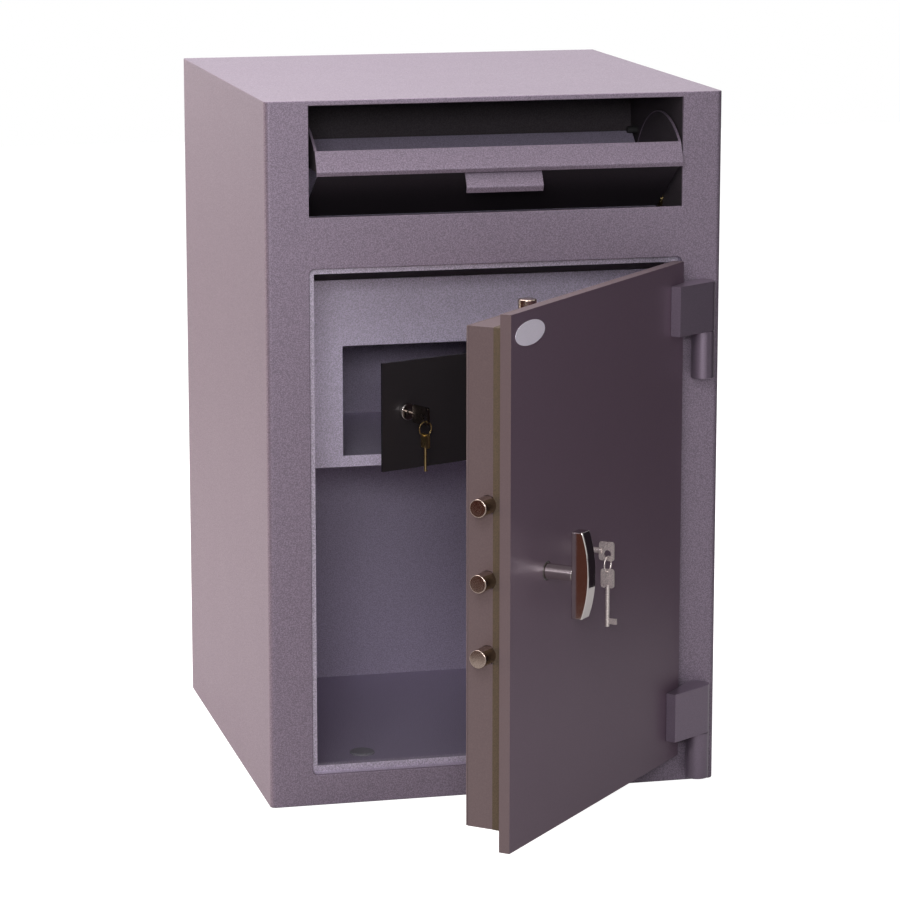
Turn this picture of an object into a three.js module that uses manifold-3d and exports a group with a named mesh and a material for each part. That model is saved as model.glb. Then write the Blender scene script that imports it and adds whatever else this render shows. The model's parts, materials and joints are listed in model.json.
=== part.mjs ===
// Drop safe with a tilting deposit drawer, a thick main door with boltwork and an inner coffer.
// Millimetres, +Z up, +X to the right of the front, +Y to the back. The origin is the centre of the base.

import * as THREE from 'three';
import { mergeVertices } from 'three/addons/utils/BufferGeometryUtils.js';
import Module from 'manifold-3d';

const wasm = await Module();
wasm.setup();

// Body
const safeWidth = 500;
const safeDepth = 512;
const safeHeight = 765;
const wallThickness = 4;
const edgeRadius = 6;
const frontReturn = 7;
const fit = 0.3;
const cutOverrun = 5;

// Openings in the front
const leftMargin = 47;
const rightMargin = 44;
const apertureTopStrip = 5.5;
const apertureHeight = 117.5;
const lintelHeight = 55;
const sillHeight = 34;
const cornerRadius = 5;

// Door rebate
const jambThickness = 3;
const stepWidth = 7;
const stepThickness = 3;
const lipThickness = 4;
const lipDepth = 10;
const doorSeatGap = 0.5;

// Floor anchors
const anchorFromSide = 138;
const anchorFromFront = 173;
const anchorFromBack = 110;
const anchorHoleRadius = 8;
const anchorCapRadius = 14;
const anchorCapHeight = 3;

// Deposit chamber and drawer
const sheet = 2;
const cheekThickness = 2.5;
const pivotDepth = 82;
const pivotDrop = 2;
const pivotAboveFloor = 15;
const rodRadius = 5;
const rodClearance = 2;
const bushWall = 4;
const leftEndGap = 6;
const rightEndGap = 3;
const bushRunGap = 0.5;
const bendAdvance = 12.5;
const bendRise = 49;
const lipRun = 11;
const lipRise = 21;
const lipHemRun = 2;
const lipHemDrop = 4.3;
const endArcSetback = 14;
const endArcDrop = 10;
const backPanelLength = 120;
const backPanelAngle = THREE.MathUtils.degToRad(37.5);
const gripWidth = 84;
const gripOffCentre = 4;
const gripFromBend = 8;
const gripReach = 17;
const gripHemRun = 2.5;
const gripHemDrop = 6;
const gripThickness = 2.5;
const stopRadius = 4;
const stopLength = 12;
const stopSetback = 3;
const sweepClearance = 1.5;
const chamberWallDrop = 8;
const chuteBehindPivot = 4;
const chuteLip = 4;

// Coffer
const cofferSetback = 205;
const cofferTopDrop = 44;
const cofferPanelHeight = 213;
const cofferPanelThickness = 2.5;
const cofferFlange = 18;
const cofferOpeningFromLeft = 125;
const cofferOpeningFromRight = 81;
const cofferOpeningRise = 13;
const cofferOpeningHeight = 125;
const cofferDoorGap = 2;
const cofferDoorThickness = 3;
const cofferDoorOpen = THREE.MathUtils.degToRad(21.8);
const cofferKnuckleRadius = 3.4;
const cofferKnuckleLength = 19;
const cofferKnuckleSide = 0.7;
const cofferKnuckleProud = 3.5;
const cofferKnuckleTab = 7;
const cofferPinRadius = 1.6;
const cofferPinLength = 14;
const cofferHingeInset = 12;
const cofferLockFromEdge = 31;
const cofferLockDrop = 58;
const cofferLockHeadRadius = 9.5;
const cofferLockHeadDepth = 6;
const cofferLockBodyRadius = 8;
const cofferLockBehind = 3.5;
const cofferCamThickness = 2.5;
const cofferCamWidth = 11;
const cofferCamReach = 40;

// Main hinges
const hingeOffFace = 13;
const hingeFromSide = 23;
const knuckleRadius = 12.5;
const barrelHeight = 52;
const leafHeight = 54;
const leafReach = 55;
const leafEndThickness = 11;
const barrelFootWidth = 14;
const hingePinRadius = 6;
const hingePinInBarrel = 40;
const hingePinInLeaf = 46;
const lowerBarrelRise = 7;
const upperBarrelDrop = 131;
const doorOpen = THREE.MathUtils.degToRad(48.3);

// Main door
const doorGap = 2;
const plateThickness = 12;
const panInset = 17;
const panDepth = 44;
const panWall = 1.5;
const coverThickness = 2;
const dogEndInset = 77.5;
const dogFromPlateBack = 18;
const dogThickness = 10;
const dogReach = 14.7;
const badgeFromEdge = 40;
const badgeFromTop = 23;
const badgeHalfWidth = 32;
const badgeHalfHeight = 12.5;
const badgeThickness = 0.6;

// Handle
const handleHeight = 312;
const handleFromEdge = 81.5;
const shaftRadius = 8;
const shaftOut = 31;
const handleBushWall = 1.5;
const handleBushRecess = 0.8;
const knobHeight = 90;
const knobWidth = 17;
const knobEndDepth = 13;
const knobMiddleDepth = 18;
const knobCorner = 3;
const knobBevel = 1.5;

// Boltwork
const boltRadius = 9.5;
const boltSpacing = 77;
const boltCount = 3;
const boltBehindPlate = 22;
const boltThrow = 18;
const boltPastEdge = 5;
const boltLength = 41.5;
const boltChamfer = 1;
const endBoltLength = 37;
const endBoltPastPan = 16.5;
const endBoltFromHandle = 20;
const guideThickness = 8;
const guideWidth = 28;
const guideEnd = 12;
const carriageThickness = 5;
const carriageDepth = 18;
const carriageOverhang = 18;
const camThickness = 5;
const camFromPlate = 7;
const camRim = 5;
const drivePinRadius = 2.5;
const driveSlack = 0.6;
const forkWall = 3;
const linkThickness = 3;
const linkGap = 1.5;
const armHeight = 12;
const barWidth = 10;

// Main lock
const keyFromHandle = 91.5;
const keyAboveHandle = 4;
const lockCaseLeft = 35;
const lockCaseRight = 35;
const lockCaseDrop = 45;
const lockCaseRise = 30;
const lockCaseGap = 1;
const lockCaseDepth = 25;
const lockBoltHeight = 10;
const lockBoltGap = 0.5;
const lockBoltTip = 5;
const lockBoltFromKey = 13;
const lockBoltThickness = 4.5;
const keyholeRadius = 3.8;
const keyholeSlotWidth = 3;
const keyholeSlotDrop = 10;
const bitChamberRadius = 10.5;
const bitChamberStart = 6;
const bitChamberDepth = 11;

// Keys. Each set holds the key in its lock, and the ring that carries the spare.
const mainKeySizes = {
  bowOff: 14, bowDeep: 17, bowHigh: 20, bowThick: 2.2, holeRadius: 4.2, rim: 3,
  stemRadius: 3, stemInside: 30, bitDrop: 8.5, bitWide: 6, bitThick: 2, bitFromEnd: 3,
  ringRadius: 8, wireRadius: 0.8, spareWide: 15, spareBow: 20, spareStem: 41, spareStemRadius: 2.2,
};
const cofferKeySizes = {
  bowOff: 14, bowDeep: 30, bowHigh: 20, bowThick: 2, holeRadius: 4, rim: 2.6,
  stemRadius: 1.8, stemInside: 3, bitDrop: 1.8, bitWide: 1.5, bitThick: 1.2, bitFromEnd: 0.5,
  ringRadius: 8, wireRadius: 0.8, spareWide: 15, spareBow: 16, spareStem: 26, spareStemRadius: 1.6,
};

// Facets
const roundSides = 28;
const smallSides = 16;
const arcSteps = 6;
const bevelSteps = 2;

// Places that follow from the sizes
const front = -safeDepth / 2;
const back = safeDepth / 2;
const left = -safeWidth / 2;
const right = safeWidth / 2;
const innerLeft = left + wallThickness;
const innerRight = right - wallThickness;
const openingLeft = left + leftMargin;
const openingRight = right - rightMargin;
const apertureTop = safeHeight - apertureTopStrip;
const apertureBottom = apertureTop - apertureHeight;
const openingTop = apertureBottom - lintelHeight;
const openingBottom = sillHeight;
const plateBack = front + plateThickness;
const stepFront = plateBack + doorSeatGap;
const cofferFace = front + cofferSetback;
const cofferTop = openingTop - cofferTopDrop;
const cofferSill = cofferTop - cofferPanelHeight;

// Materials
const finish = (color, roughness, metalness) => new THREE.MeshStandardMaterial({ color, roughness, metalness });
const bodyPaint = finish(0x7b7178, 0.5, 0.35);
const doorPaint = finish(0x665c69, 0.42, 0.35);
const panPaint = finish(0x857a73, 0.5, 0.3);
const chamberPaint = finish(0x433d45, 0.5, 0.2);
const cofferPaint = finish(0xa19aaa, 0.5, 0.3);
const cofferDoorPaint = finish(0x3a343a, 0.6, 0.2);
const chrome = finish(0xd8d6d4, 0.12, 1);
const nickel = finish(0xb9ab98, 0.25, 1);
const plainSteel = finish(0x9a9996, 0.4, 1);
const brass = finish(0xb09a5e, 0.35, 1);
const rubber = finish(0x262424, 0.85, 0);
const badgeSilver = finish(0xc9c6c4, 0.35, 0.6);

// Solids. A geometry becomes a solid once its shared vertices are merged.
function solidOf(geometry) {
  const bare = geometry.clone();
  bare.deleteAttribute('normal');
  bare.deleteAttribute('uv');
  const merged = mergeVertices(bare);
  const vertProperties = new Float32Array(merged.attributes.position.array);
  const triVerts = new Uint32Array(merged.index.array);
  return new wasm.Manifold(new wasm.Mesh({ numProp: 3, vertProperties, triVerts }));
}

function geometryOf(solid) {
  const { vertProperties, triVerts } = solid.getMesh();
  const geometry = new THREE.BufferGeometry();
  geometry.setAttribute('position', new THREE.BufferAttribute(vertProperties, 3));
  geometry.setIndex(new THREE.BufferAttribute(triVerts, 1));
  geometry.computeVertexNormals();
  return geometry;
}

function join(...solids) {
  return solids.reduce((whole, solid) => whole.add(solid));
}

function cut(solid, ...tools) {
  return tools.reduce((rest, tool) => rest.subtract(tool), solid);
}

// A block between two values on each axis
function block([x0, x1], [y0, y1], [z0, z1]) {
  const geometry = new THREE.BoxGeometry(x1 - x0, y1 - y0, z1 - z0);
  geometry.translate((x0 + x1) / 2, (y0 + y1) / 2, (z0 + z1) / 2);
  return solidOf(geometry);
}

// A round bar along one axis, from one value to another
function bar(axis, radius, [from, to], { x = 0, y = 0, z = 0 }, sides = roundSides) {
  const geometry = new THREE.CylinderGeometry(radius, radius, to - from, sides);
  const middle = new THREE.Vector3(x, y, z);
  if (axis === 'x') geometry.rotateZ(-Math.PI / 2);
  if (axis === 'z') geometry.rotateX(Math.PI / 2);
  middle[axis] = (from + to) / 2;
  geometry.translate(middle.x, middle.y, middle.z);
  return solidOf(geometry);
}

// An outline drawn in the plane square to an axis and extruded along it.
// Along x it is drawn in y and z, along y in x and z, along z in x and y.
function extruded(axis, outline, [from, to]) {
  const options = { depth: to - from, bevelEnabled: false, curveSegments: arcSteps };
  const geometry = new THREE.ExtrudeGeometry(outline, options);
  if (axis === 'x') {
    geometry.rotateX(Math.PI / 2);
    geometry.rotateZ(Math.PI / 2);
    geometry.translate(from, 0, 0);
  } else if (axis === 'y') {
    geometry.rotateX(Math.PI / 2);
    geometry.translate(0, to, 0);
  } else {
    geometry.translate(0, 0, from);
  }
  return solidOf(geometry);
}

function roundedRectangle([x0, x1], [y0, y1], radius) {
  const outline = new THREE.Shape();
  const quarter = Math.PI / 2;
  outline.moveTo(x0 + radius, y0);
  outline.absarc(x1 - radius, y0 + radius, radius, -quarter, 0);
  outline.absarc(x1 - radius, y1 - radius, radius, 0, quarter);
  outline.absarc(x0 + radius, y1 - radius, radius, quarter, 2 * quarter);
  outline.absarc(x0 + radius, y0 + radius, radius, 2 * quarter, 3 * quarter);
  return outline;
}

function polygon(points) {
  return new THREE.Shape(points.map(([u, v]) => new THREE.Vector2(u, v)));
}

// A sheet bent along a line in y and z, with mitred bends, extruded along x
function bentSheet(line, thickness, span) {
  const points = line.map(([y, z]) => new THREE.Vector2(y, z));
  const normals = points.slice(1).map((point, i) => {
    const along = point.clone().sub(points[i]).normalize();
    return new THREE.Vector2(-along.y, along.x);
  });
  const offset = (point, i, side) => {
    const before = normals[Math.max(i - 1, 0)];
    const after = normals[Math.min(i, normals.length - 1)];
    const mitre = before.clone().add(after).divideScalar(1 + before.dot(after));
    return point.clone().addScaledVector(mitre, side * thickness / 2);
  };
  const upper = points.map((point, i) => offset(point, i, 1));
  const lower = points.map((point, i) => offset(point, i, -1)).reverse();
  return extruded('x', new THREE.Shape([...upper, ...lower]), span);
}

const safe = new THREE.Group();

function addPiece(group, name, solid, material) {
  const mesh = new THREE.Mesh(geometryOf(solid), material);
  mesh.name = name;
  group.add(mesh);
}

// A group whose contents are drawn shut and stand open by an angle about an upright axis
function swungGroup(axisX, axisY, angle) {
  const turned = new THREE.Group();
  turned.position.set(axisX, axisY, 0);
  turned.rotation.z = angle;
  const shut = new THREE.Group();
  shut.position.set(-axisX, -axisY, 0);
  turned.add(shut);
  safe.add(turned);
  return shut;
}

// Body shell

function addBody() {
  const wrap = new THREE.Shape();
  wrap.moveTo(left, front + frontReturn);
  wrap.lineTo(left, front + edgeRadius);
  wrap.absarc(left + edgeRadius, front + edgeRadius, edgeRadius, Math.PI, 1.5 * Math.PI);
  wrap.absarc(right - edgeRadius, front + edgeRadius, edgeRadius, 1.5 * Math.PI, 2 * Math.PI);
  wrap.lineTo(right, front + frontReturn);
  wrap.lineTo(innerRight, front + frontReturn);
  wrap.lineTo(innerRight, front + wallThickness);
  wrap.lineTo(innerLeft, front + wallThickness);
  wrap.lineTo(innerLeft, front + frontReturn);
  const through = [front - cutOverrun, front + wallThickness + cutOverrun];
  const aperture = block([openingLeft, openingRight], through, [apertureBottom, apertureTop]);
  const opening = roundedRectangle([openingLeft, openingRight], [openingBottom, openingTop], cornerRadius);
  const frontFrame = cut(extruded('z', wrap, [0, safeHeight]), aperture, extruded('y', opening, through));
  addPiece(safe, 'front_frame', frontFrame, bodyPaint);

  const sideSpan = [front + frontReturn + fit, back];
  addPiece(safe, 'left_side', block([left, innerLeft], sideSpan, [0, safeHeight]), bodyPaint);
  addPiece(safe, 'right_side', block([innerRight, right], sideSpan, [0, safeHeight]), bodyPaint);

  const betweenSides = [innerLeft + fit, innerRight - fit];
  const behindFront = [front + wallThickness + fit, back];
  const roof = block(betweenSides, behindFront, [safeHeight - wallThickness, safeHeight]);
  addPiece(safe, 'top_plate', roof, bodyPaint);
  const rearSpan = [wallThickness + fit, safeHeight - wallThickness - fit];
  addPiece(safe, 'back_plate', block(betweenSides, [back - wallThickness, back], rearSpan), bodyPaint);

  const anchors = [
    { name: 'anchor_cap_front', x: left + anchorFromSide, y: front + anchorFromFront },
    { name: 'anchor_cap_rear', x: right - anchorFromSide, y: back - anchorFromBack },
  ];
  const holeSpan = [-cutOverrun, wallThickness + cutOverrun];
  const holes = anchors.map((place) => bar('z', anchorHoleRadius, holeSpan, place));
  const base = block(betweenSides, behindFront, [0, wallThickness]);
  addPiece(safe, 'base_plate', cut(base, ...holes), bodyPaint);
  for (const place of anchors) {
    const capBase = wallThickness + fit;
    const head = bar('z', anchorCapRadius, [capBase, capBase + anchorCapHeight], place);
    const stem = bar('z', anchorHoleRadius - fit, [fit, capBase + fit], place);
    addPiece(safe, place.name, join(head, stem), rubber);
  }
}

// Door rebate: a jamb behind the opening's edge, a step and a lip that the bolts lock behind

function addRebate() {
  const ring = (outer, inner, span) => {
    const outline = (grow) => roundedRectangle(
      [openingLeft - grow, openingRight + grow],
      [openingBottom - grow, openingTop + grow],
      Math.max(cornerRadius + grow, fit),
    );
    const overrun = [span[0] - cutOverrun, span[1] + cutOverrun];
    return cut(extruded('y', outline(outer), span), extruded('y', outline(inner), overrun));
  };
  const jamb = ring(jambThickness, 0, [front + wallThickness + fit, stepFront + stepThickness]);
  const step = ring(jambThickness, -stepWidth, [stepFront, stepFront + stepThickness]);
  const lip = ring(lipThickness - stepWidth, -stepWidth, [stepFront, stepFront + lipDepth]);
  addPiece(safe, 'door_rebate', join(jamb, step, lip), bodyPaint);
}

// Deposit chamber

const pivot = { y: front + pivotDepth, z: apertureBottom - pivotDrop };
const bend = [front - bendAdvance, apertureBottom + bendRise];
const lipEdge = [bend[0] + lipRun, bend[1] + lipRise];
const endArc = { y: pivot.y - endArcSetback, z: pivot.z - endArcDrop };
const plateAngle = Math.atan2(bend[1] - pivot.z, bend[0] - pivot.y);
const halfTrough = (plateAngle - backPanelAngle) / 2;
const crotch = (rodRadius + rodClearance + sheet / 2) / Math.sin(halfTrough);
const troughAngle = (plateAngle + backPanelAngle) / 2;
const trough = [pivot.y - crotch * Math.cos(troughAngle), pivot.z - crotch * Math.sin(troughAngle)];
const backEdge = [
  trough[0] + backPanelLength * Math.cos(backPanelAngle),
  trough[1] + backPanelLength * Math.sin(backPanelAngle),
];
const sweepRadius = Math.hypot(backEdge[0] - pivot.y, backEdge[1] - pivot.z) + sheet / 2;
const chamberBack = pivot.y + sweepRadius + sweepClearance;
const chamberTop = safeHeight - wallThickness - fit;
const floorTop = pivot.z - pivotAboveFloor;
const scoopLeft = openingLeft + leftEndGap;
const scoopRight = openingRight - rightEndGap;

function addDepositChamber() {
  const fullSpan = [innerLeft + fit, innerRight - fit];
  const floorBack = pivot.y + chuteBehindPivot;
  const floorSpan = [floorTop - cheekThickness, floorTop];
  const depositFloor = block(fullSpan, [front + wallThickness + fit, floorBack], floorSpan);
  addPiece(safe, 'deposit_floor', depositFloor, chamberPaint);

  const landing = cofferTop + fit + sheet / 2;
  const line = [
    [floorBack + fit, floorTop - cheekThickness / 2],
    [floorBack + fit + chuteLip, floorTop - cheekThickness / 2],
    [cofferFace, landing],
    [cofferFace + cofferFlange, landing],
  ];
  addPiece(safe, 'drop_chute', bentSheet(line, sheet, fullSpan), chamberPaint);

  const bushRadius = rodRadius + fit + bushWall;
  const cheekDepth = [front + wallThickness + fit, chamberBack - fit];
  const cheeks = [
    { name: 'left', inner: openingLeft, outward: -1, gap: leftEndGap },
    { name: 'right', inner: openingRight, outward: 1, gap: rightEndGap },
  ];
  for (const { name, inner, outward, gap } of cheeks) {
    const outer = inner + outward * cheekThickness;
    const span = [inner, outer].sort((a, b) => a - b);
    const plate = block(span, cheekDepth, [floorTop + fit, chamberTop]);
    const holeSpan = [span[0] - cutOverrun, span[1] + cutOverrun];
    const hole = bar('x', bushRadius + fit, holeSpan, pivot, smallSides);
    addPiece(safe, `${name}_cheek`, cut(plate, hole), chamberPaint);

    const bushInner = inner - outward * (gap - bushRunGap);
    const bushOuter = outer + outward * bushWall;
    const bushSpan = [bushInner, bushOuter].sort((a, b) => a - b);
    const bush = bar('x', bushRadius, bushSpan, pivot, smallSides);
    const boreSpan = [bushSpan[0] - cutOverrun, bushSpan[1] + cutOverrun];
    const bore = bar('x', rodRadius + fit, boreSpan, pivot, smallSides);
    addPiece(safe, `hopper_bush_${name}`, cut(bush, bore), brass);

    const along = backPanelLength - stopSetback;
    const away = sheet / 2 + fit + stopRadius;
    const stop = {
      y: trough[0] + along * Math.cos(backPanelAngle) - away * Math.sin(backPanelAngle),
      z: trough[1] + along * Math.sin(backPanelAngle) + away * Math.cos(backPanelAngle),
    };
    const stopSpan = [inner - outward * fit, inner - outward * stopLength].sort((a, b) => a - b);
    addPiece(safe, `hopper_stop_${name}`, bar('x', stopRadius, stopSpan, stop, smallSides), rubber);
  }
  const wallSpan = [openingLeft - cheekThickness, openingRight + cheekThickness];
  const rear = block(wallSpan, [chamberBack, chamberBack + cheekThickness], [pivot.z - chamberWallDrop, chamberTop]);
  addPiece(safe, 'deposit_back', rear, chamberPaint);
}

// Deposit drawer: a scoop that tilts on a rod

function addHopper() {
  const scoopSpan = [scoopLeft + sheet + fit, scoopRight - sheet - fit];
  const hemEdge = [bend[0] + lipHemRun, bend[1] - lipHemDrop];
  const lip = bentSheet([lipEdge, bend, hemEdge], sheet, [scoopLeft, scoopRight]);
  const scoop = bentSheet([lipEdge, bend, trough, backEdge], sheet, scoopSpan);
  addPiece(safe, 'hopper_scoop', join(lip, scoop), bodyPaint);

  // The ends stand behind the lip, and their rounded edge runs from its top to the back panel
  const behindLip = sheet / 2 + fit;
  const lipRoot = [bend[0] + behindLip, bend[1]];
  const lipTop = [lipEdge[0] + behindLip, lipEdge[1]];
  const arcRadius = Math.hypot(lipTop[0] - endArc.y, lipTop[1] - endArc.z);
  const backAngle = Math.atan2(backEdge[1] - endArc.z, backEdge[0] - endArc.y);
  const topAngle = Math.atan2(lipTop[1] - endArc.z, lipTop[0] - endArc.y);
  const sector = new THREE.Shape();
  sector.moveTo(trough[0], trough[1]);
  sector.absarc(endArc.y, endArc.z, arcRadius, backAngle, topAngle);
  sector.lineTo(lipRoot[0], lipRoot[1]);
  const ends = [
    { name: 'hopper_left_end', span: [scoopLeft, scoopLeft + sheet] },
    { name: 'hopper_right_end', span: [scoopRight - sheet, scoopRight] },
  ];
  for (const { name, span } of ends) {
    const holeSpan = [span[0] - cutOverrun, span[1] + cutOverrun];
    const hole = bar('x', rodRadius + fit, holeSpan, pivot, smallSides);
    addPiece(safe, name, cut(extruded('x', sector, span), hole), bodyPaint);
  }
  const rodSpan = [openingLeft - cheekThickness - bushWall, openingRight + cheekThickness + bushWall];
  addPiece(safe, 'hopper_rod', bar('x', rodRadius, rodSpan, pivot, smallSides), plainSteel);

  const run = Math.atan2(trough[1] - bend[1], trough[0] - bend[0]);
  const along = [Math.cos(run), Math.sin(run)];
  const out = [along[1], -along[0]];
  const from = (distance, reach) => [0, 1].map((i) => bend[i] + along[i] * distance + out[i] * reach);
  const root = from(gripFromBend, sheet / 2 + fit);
  const tip = from(gripFromBend, sheet / 2 + fit + gripReach);
  const middle = (openingLeft + openingRight) / 2 + gripOffCentre;
  const gripSpan = [middle - gripWidth / 2, middle + gripWidth / 2];
  const grip = bentSheet([root, tip, [tip[0] + gripHemRun, tip[1] - gripHemDrop]], gripThickness, gripSpan);
  addPiece(safe, 'hopper_grip', grip, bodyPaint);
}

// Keys

// The hole for the ring is at the far end of the bow
function holeDepth({ bowOff, bowDeep, holeRadius, rim }, face) {
  return face - bowOff - bowDeep + rim + holeRadius;
}

// A key drawn with its stem along y. The bow stands in front of the face, the bit hangs down.
function keySolid(sizes, x, z, face) {
  const { bowOff, bowDeep, bowHigh, bowThick, holeRadius, rim } = sizes;
  const bowSpan = [face - bowOff - bowDeep, face - bowOff];
  const bowOutline = roundedRectangle(bowSpan, [z - bowHigh / 2, z + bowHigh / 2], rim);
  const bow = extruded('x', bowOutline, [x - bowThick / 2, x + bowThick / 2]);
  const hole = {
    y: holeDepth(sizes, face),
    z: z - bowHigh / 2 + rim + holeRadius,
  };
  const holeSpan = [x - bowThick / 2 - cutOverrun, x + bowThick / 2 + cutOverrun];
  const stemEnd = face + sizes.stemInside;
  const stem = bar('y', sizes.stemRadius, [face - bowOff - rim, stemEnd], { x, z }, smallSides);
  const bitEnd = stemEnd - sizes.bitFromEnd;
  const bit = block(
    [x - sizes.bitThick / 2, x + sizes.bitThick / 2],
    [bitEnd - sizes.bitWide, bitEnd],
    [z - sizes.bitDrop, z],
  );
  return join(cut(bow, bar('x', holeRadius, holeSpan, hole, smallSides)), stem, bit);
}

// The ring hangs round the rim at the foot of the bow, and the spare key hangs from the ring
function ringSolid(sizes, x, z, face) {
  const { bowHigh, bowThick, rim, ringRadius, wireRadius, spareWide } = sizes;
  const rimZ = z - bowHigh / 2 + rim / 2;
  const y = holeDepth(sizes, face);
  const rimReach = Math.hypot(rim / 2, bowThick / 2);
  const ringZ = rimZ + rimReach + fit + wireRadius - ringRadius;
  const torus = new THREE.TorusGeometry(ringRadius, wireRadius, smallSides / 2, roundSides);
  torus.rotateX(Math.PI / 2);
  torus.translate(x, y, ringZ);
  const bowTop = ringZ - ringRadius + rim;
  const bowSpan = [bowTop - sizes.spareBow, bowTop];
  const outline = roundedRectangle([y - spareWide / 2, y + spareWide / 2], bowSpan, rim);
  const bow = extruded('x', outline, [x - bowThick / 2, x + bowThick / 2]);
  const stemEnd = bowSpan[0] - sizes.spareStem;
  const stem = bar('z', sizes.spareStemRadius, [stemEnd, bowSpan[0] + rim], { x, y }, smallSides);
  const bit = block(
    [x - sizes.bitThick / 2, x + sizes.bitThick / 2],
    [y - sizes.bitDrop - sizes.spareStemRadius, y],
    [stemEnd + sizes.bitFromEnd, stemEnd + sizes.bitFromEnd + sizes.bitWide],
  );
  return join(solidOf(torus), bow, stem, bit);
}

// Coffer

const cofferOpeningLeft = left + cofferOpeningFromLeft;
const cofferOpeningRight = right - cofferOpeningFromRight;
const cofferOpeningBottom = cofferSill + cofferOpeningRise;
const cofferOpeningTop = cofferOpeningBottom + cofferOpeningHeight;
const cofferDoorRight = cofferOpeningRight - cofferDoorGap;
const cofferAxis = { x: cofferDoorRight + cofferKnuckleSide, y: cofferFace - cofferKnuckleProud };
const cofferHinges = [
  { name: 'coffer_hinge_lower', z: cofferOpeningBottom + cofferHingeInset },
  { name: 'coffer_hinge_upper', z: cofferOpeningTop - cofferHingeInset - 2 * cofferKnuckleLength },
];

function addCoffer() {
  const fullSpan = [innerLeft + fit, innerRight - fit];
  const panelBack = cofferFace + cofferPanelThickness;
  const panel = block(fullSpan, [cofferFace, panelBack], [cofferSill, cofferTop]);
  const flangeDepth = [cofferFace, cofferFace + cofferFlange];
  const flange = block(fullSpan, flangeDepth, [cofferTop - cofferPanelThickness, cofferTop]);
  const hole = block(
    [cofferOpeningLeft, cofferOpeningRight],
    [cofferFace - cutOverrun, panelBack + cutOverrun],
    [cofferOpeningBottom, cofferOpeningTop],
  );
  addPiece(safe, 'coffer_front', cut(join(panel, flange), hole), cofferPaint);

  const floorDepth = [panelBack + fit, back - wallThickness - fit];
  const floor = block(fullSpan, floorDepth, [cofferSill, cofferSill + cofferPanelThickness]);
  addPiece(safe, 'coffer_floor', floor, cofferPaint);

  for (const { name, z } of cofferHinges) {
    const barrelTop = z + cofferKnuckleLength;
    const barrel = bar('z', cofferKnuckleRadius, [z, barrelTop], cofferAxis, smallSides);
    const pinSpan = [barrelTop - fit, barrelTop + cofferPinLength];
    addPiece(safe, name, join(barrel, bar('z', cofferPinRadius, pinSpan, cofferAxis, smallSides)), plainSteel);
  }
}

function addCofferDoor() {
  const group = swungGroup(cofferAxis.x, cofferAxis.y, cofferDoorOpen);
  const doorLeft = cofferOpeningLeft + cofferDoorGap;
  const doorBack = cofferFace + cofferDoorThickness;
  const doorHeight = [cofferOpeningBottom + cofferDoorGap, cofferOpeningTop - cofferDoorGap];
  const lock = { x: doorLeft + cofferLockFromEdge, z: cofferOpeningTop - cofferLockDrop };
  const panel = block([doorLeft, cofferDoorRight], [cofferFace, doorBack], doorHeight);
  const lockSpan = [cofferFace - cutOverrun, doorBack + cutOverrun];
  const lockHole = bar('y', cofferLockBodyRadius + fit, lockSpan, lock);
  const knuckles = cofferHinges.map(({ z }) => {
    const span = [z + cofferKnuckleLength + fit, z + 2 * cofferKnuckleLength];
    const tabDepth = [cofferAxis.y, cofferFace + cofferDoorThickness / 2];
    const tab = block([cofferAxis.x - cofferKnuckleTab, cofferDoorRight], tabDepth, span);
    return join(bar('z', cofferKnuckleRadius, span, cofferAxis, smallSides), tab);
  });
  const bores = cofferHinges.map(({ z }) => {
    const boreBottom = z + cofferKnuckleLength - cutOverrun;
    const boreTop = z + cofferKnuckleLength + cofferPinLength + fit;
    return bar('z', cofferPinRadius + fit, [boreBottom, boreTop], cofferAxis, smallSides);
  });
  addPiece(group, 'coffer_door', cut(join(panel, ...knuckles), lockHole, ...bores), cofferDoorPaint);

  const headSpan = [cofferFace - cofferLockHeadDepth, cofferFace - fit];
  const bodySpan = [cofferFace - cofferLockHeadDepth, doorBack + cofferLockBehind];
  const boreSpan = [headSpan[0] - cutOverrun, cofferFace + cofferKeySizes.stemInside + fit];
  const cylinder = cut(
    join(bar('y', cofferLockHeadRadius, headSpan, lock), bar('y', cofferLockBodyRadius, bodySpan, lock)),
    bar('y', cofferKeySizes.stemRadius + fit, boreSpan, lock, smallSides),
  );
  addPiece(group, 'coffer_lock', cylinder, chrome);

  const camFront = bodySpan[1] + fit;
  const camOutline = roundedRectangle(
    [lock.x - cofferCamWidth / 2, lock.x + cofferCamWidth / 2],
    [lock.z - cofferCamReach, lock.z + cofferCamWidth / 2],
    cofferCamWidth / 2 - fit,
  );
  const cam = extruded('y', camOutline, [camFront, camFront + cofferCamThickness]);
  addPiece(group, 'coffer_cam', cam, plainSteel);
  addPiece(group, 'coffer_key', keySolid(cofferKeySizes, lock.x, lock.z, cofferFace), nickel);
  addPiece(group, 'coffer_key_ring', ringSolid(cofferKeySizes, lock.x, lock.z, cofferFace), brass);
}

// Main hinges

const hinge = { x: right - hingeFromSide, y: front - hingeOffFace };
const mainHinges = [
  { name: 'upper', z: openingTop - upperBarrelDrop },
  { name: 'lower', z: lowerBarrelRise },
];

// A leaf's section lies flat on the door, and its face runs out to touch the knuckle
function leafOutline() {
  const leafBack = front - fit;
  const axis = new THREE.Vector2(hinge.x, hinge.y);
  const tip = new THREE.Vector2(hinge.x - leafReach, leafBack - leafEndThickness);
  const toAxis = axis.clone().sub(tip);
  const heading = toAxis.angle() - Math.asin(knuckleRadius / toAxis.length());
  const run = Math.sqrt(toAxis.lengthSq() - knuckleRadius * knuckleRadius);
  const touch = [tip.x + run * Math.cos(heading), tip.y + run * Math.sin(heading)];
  return polygon([[tip.x, leafBack], tip.toArray(), touch, axis.toArray(), [hinge.x, leafBack]]);
}

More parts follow.
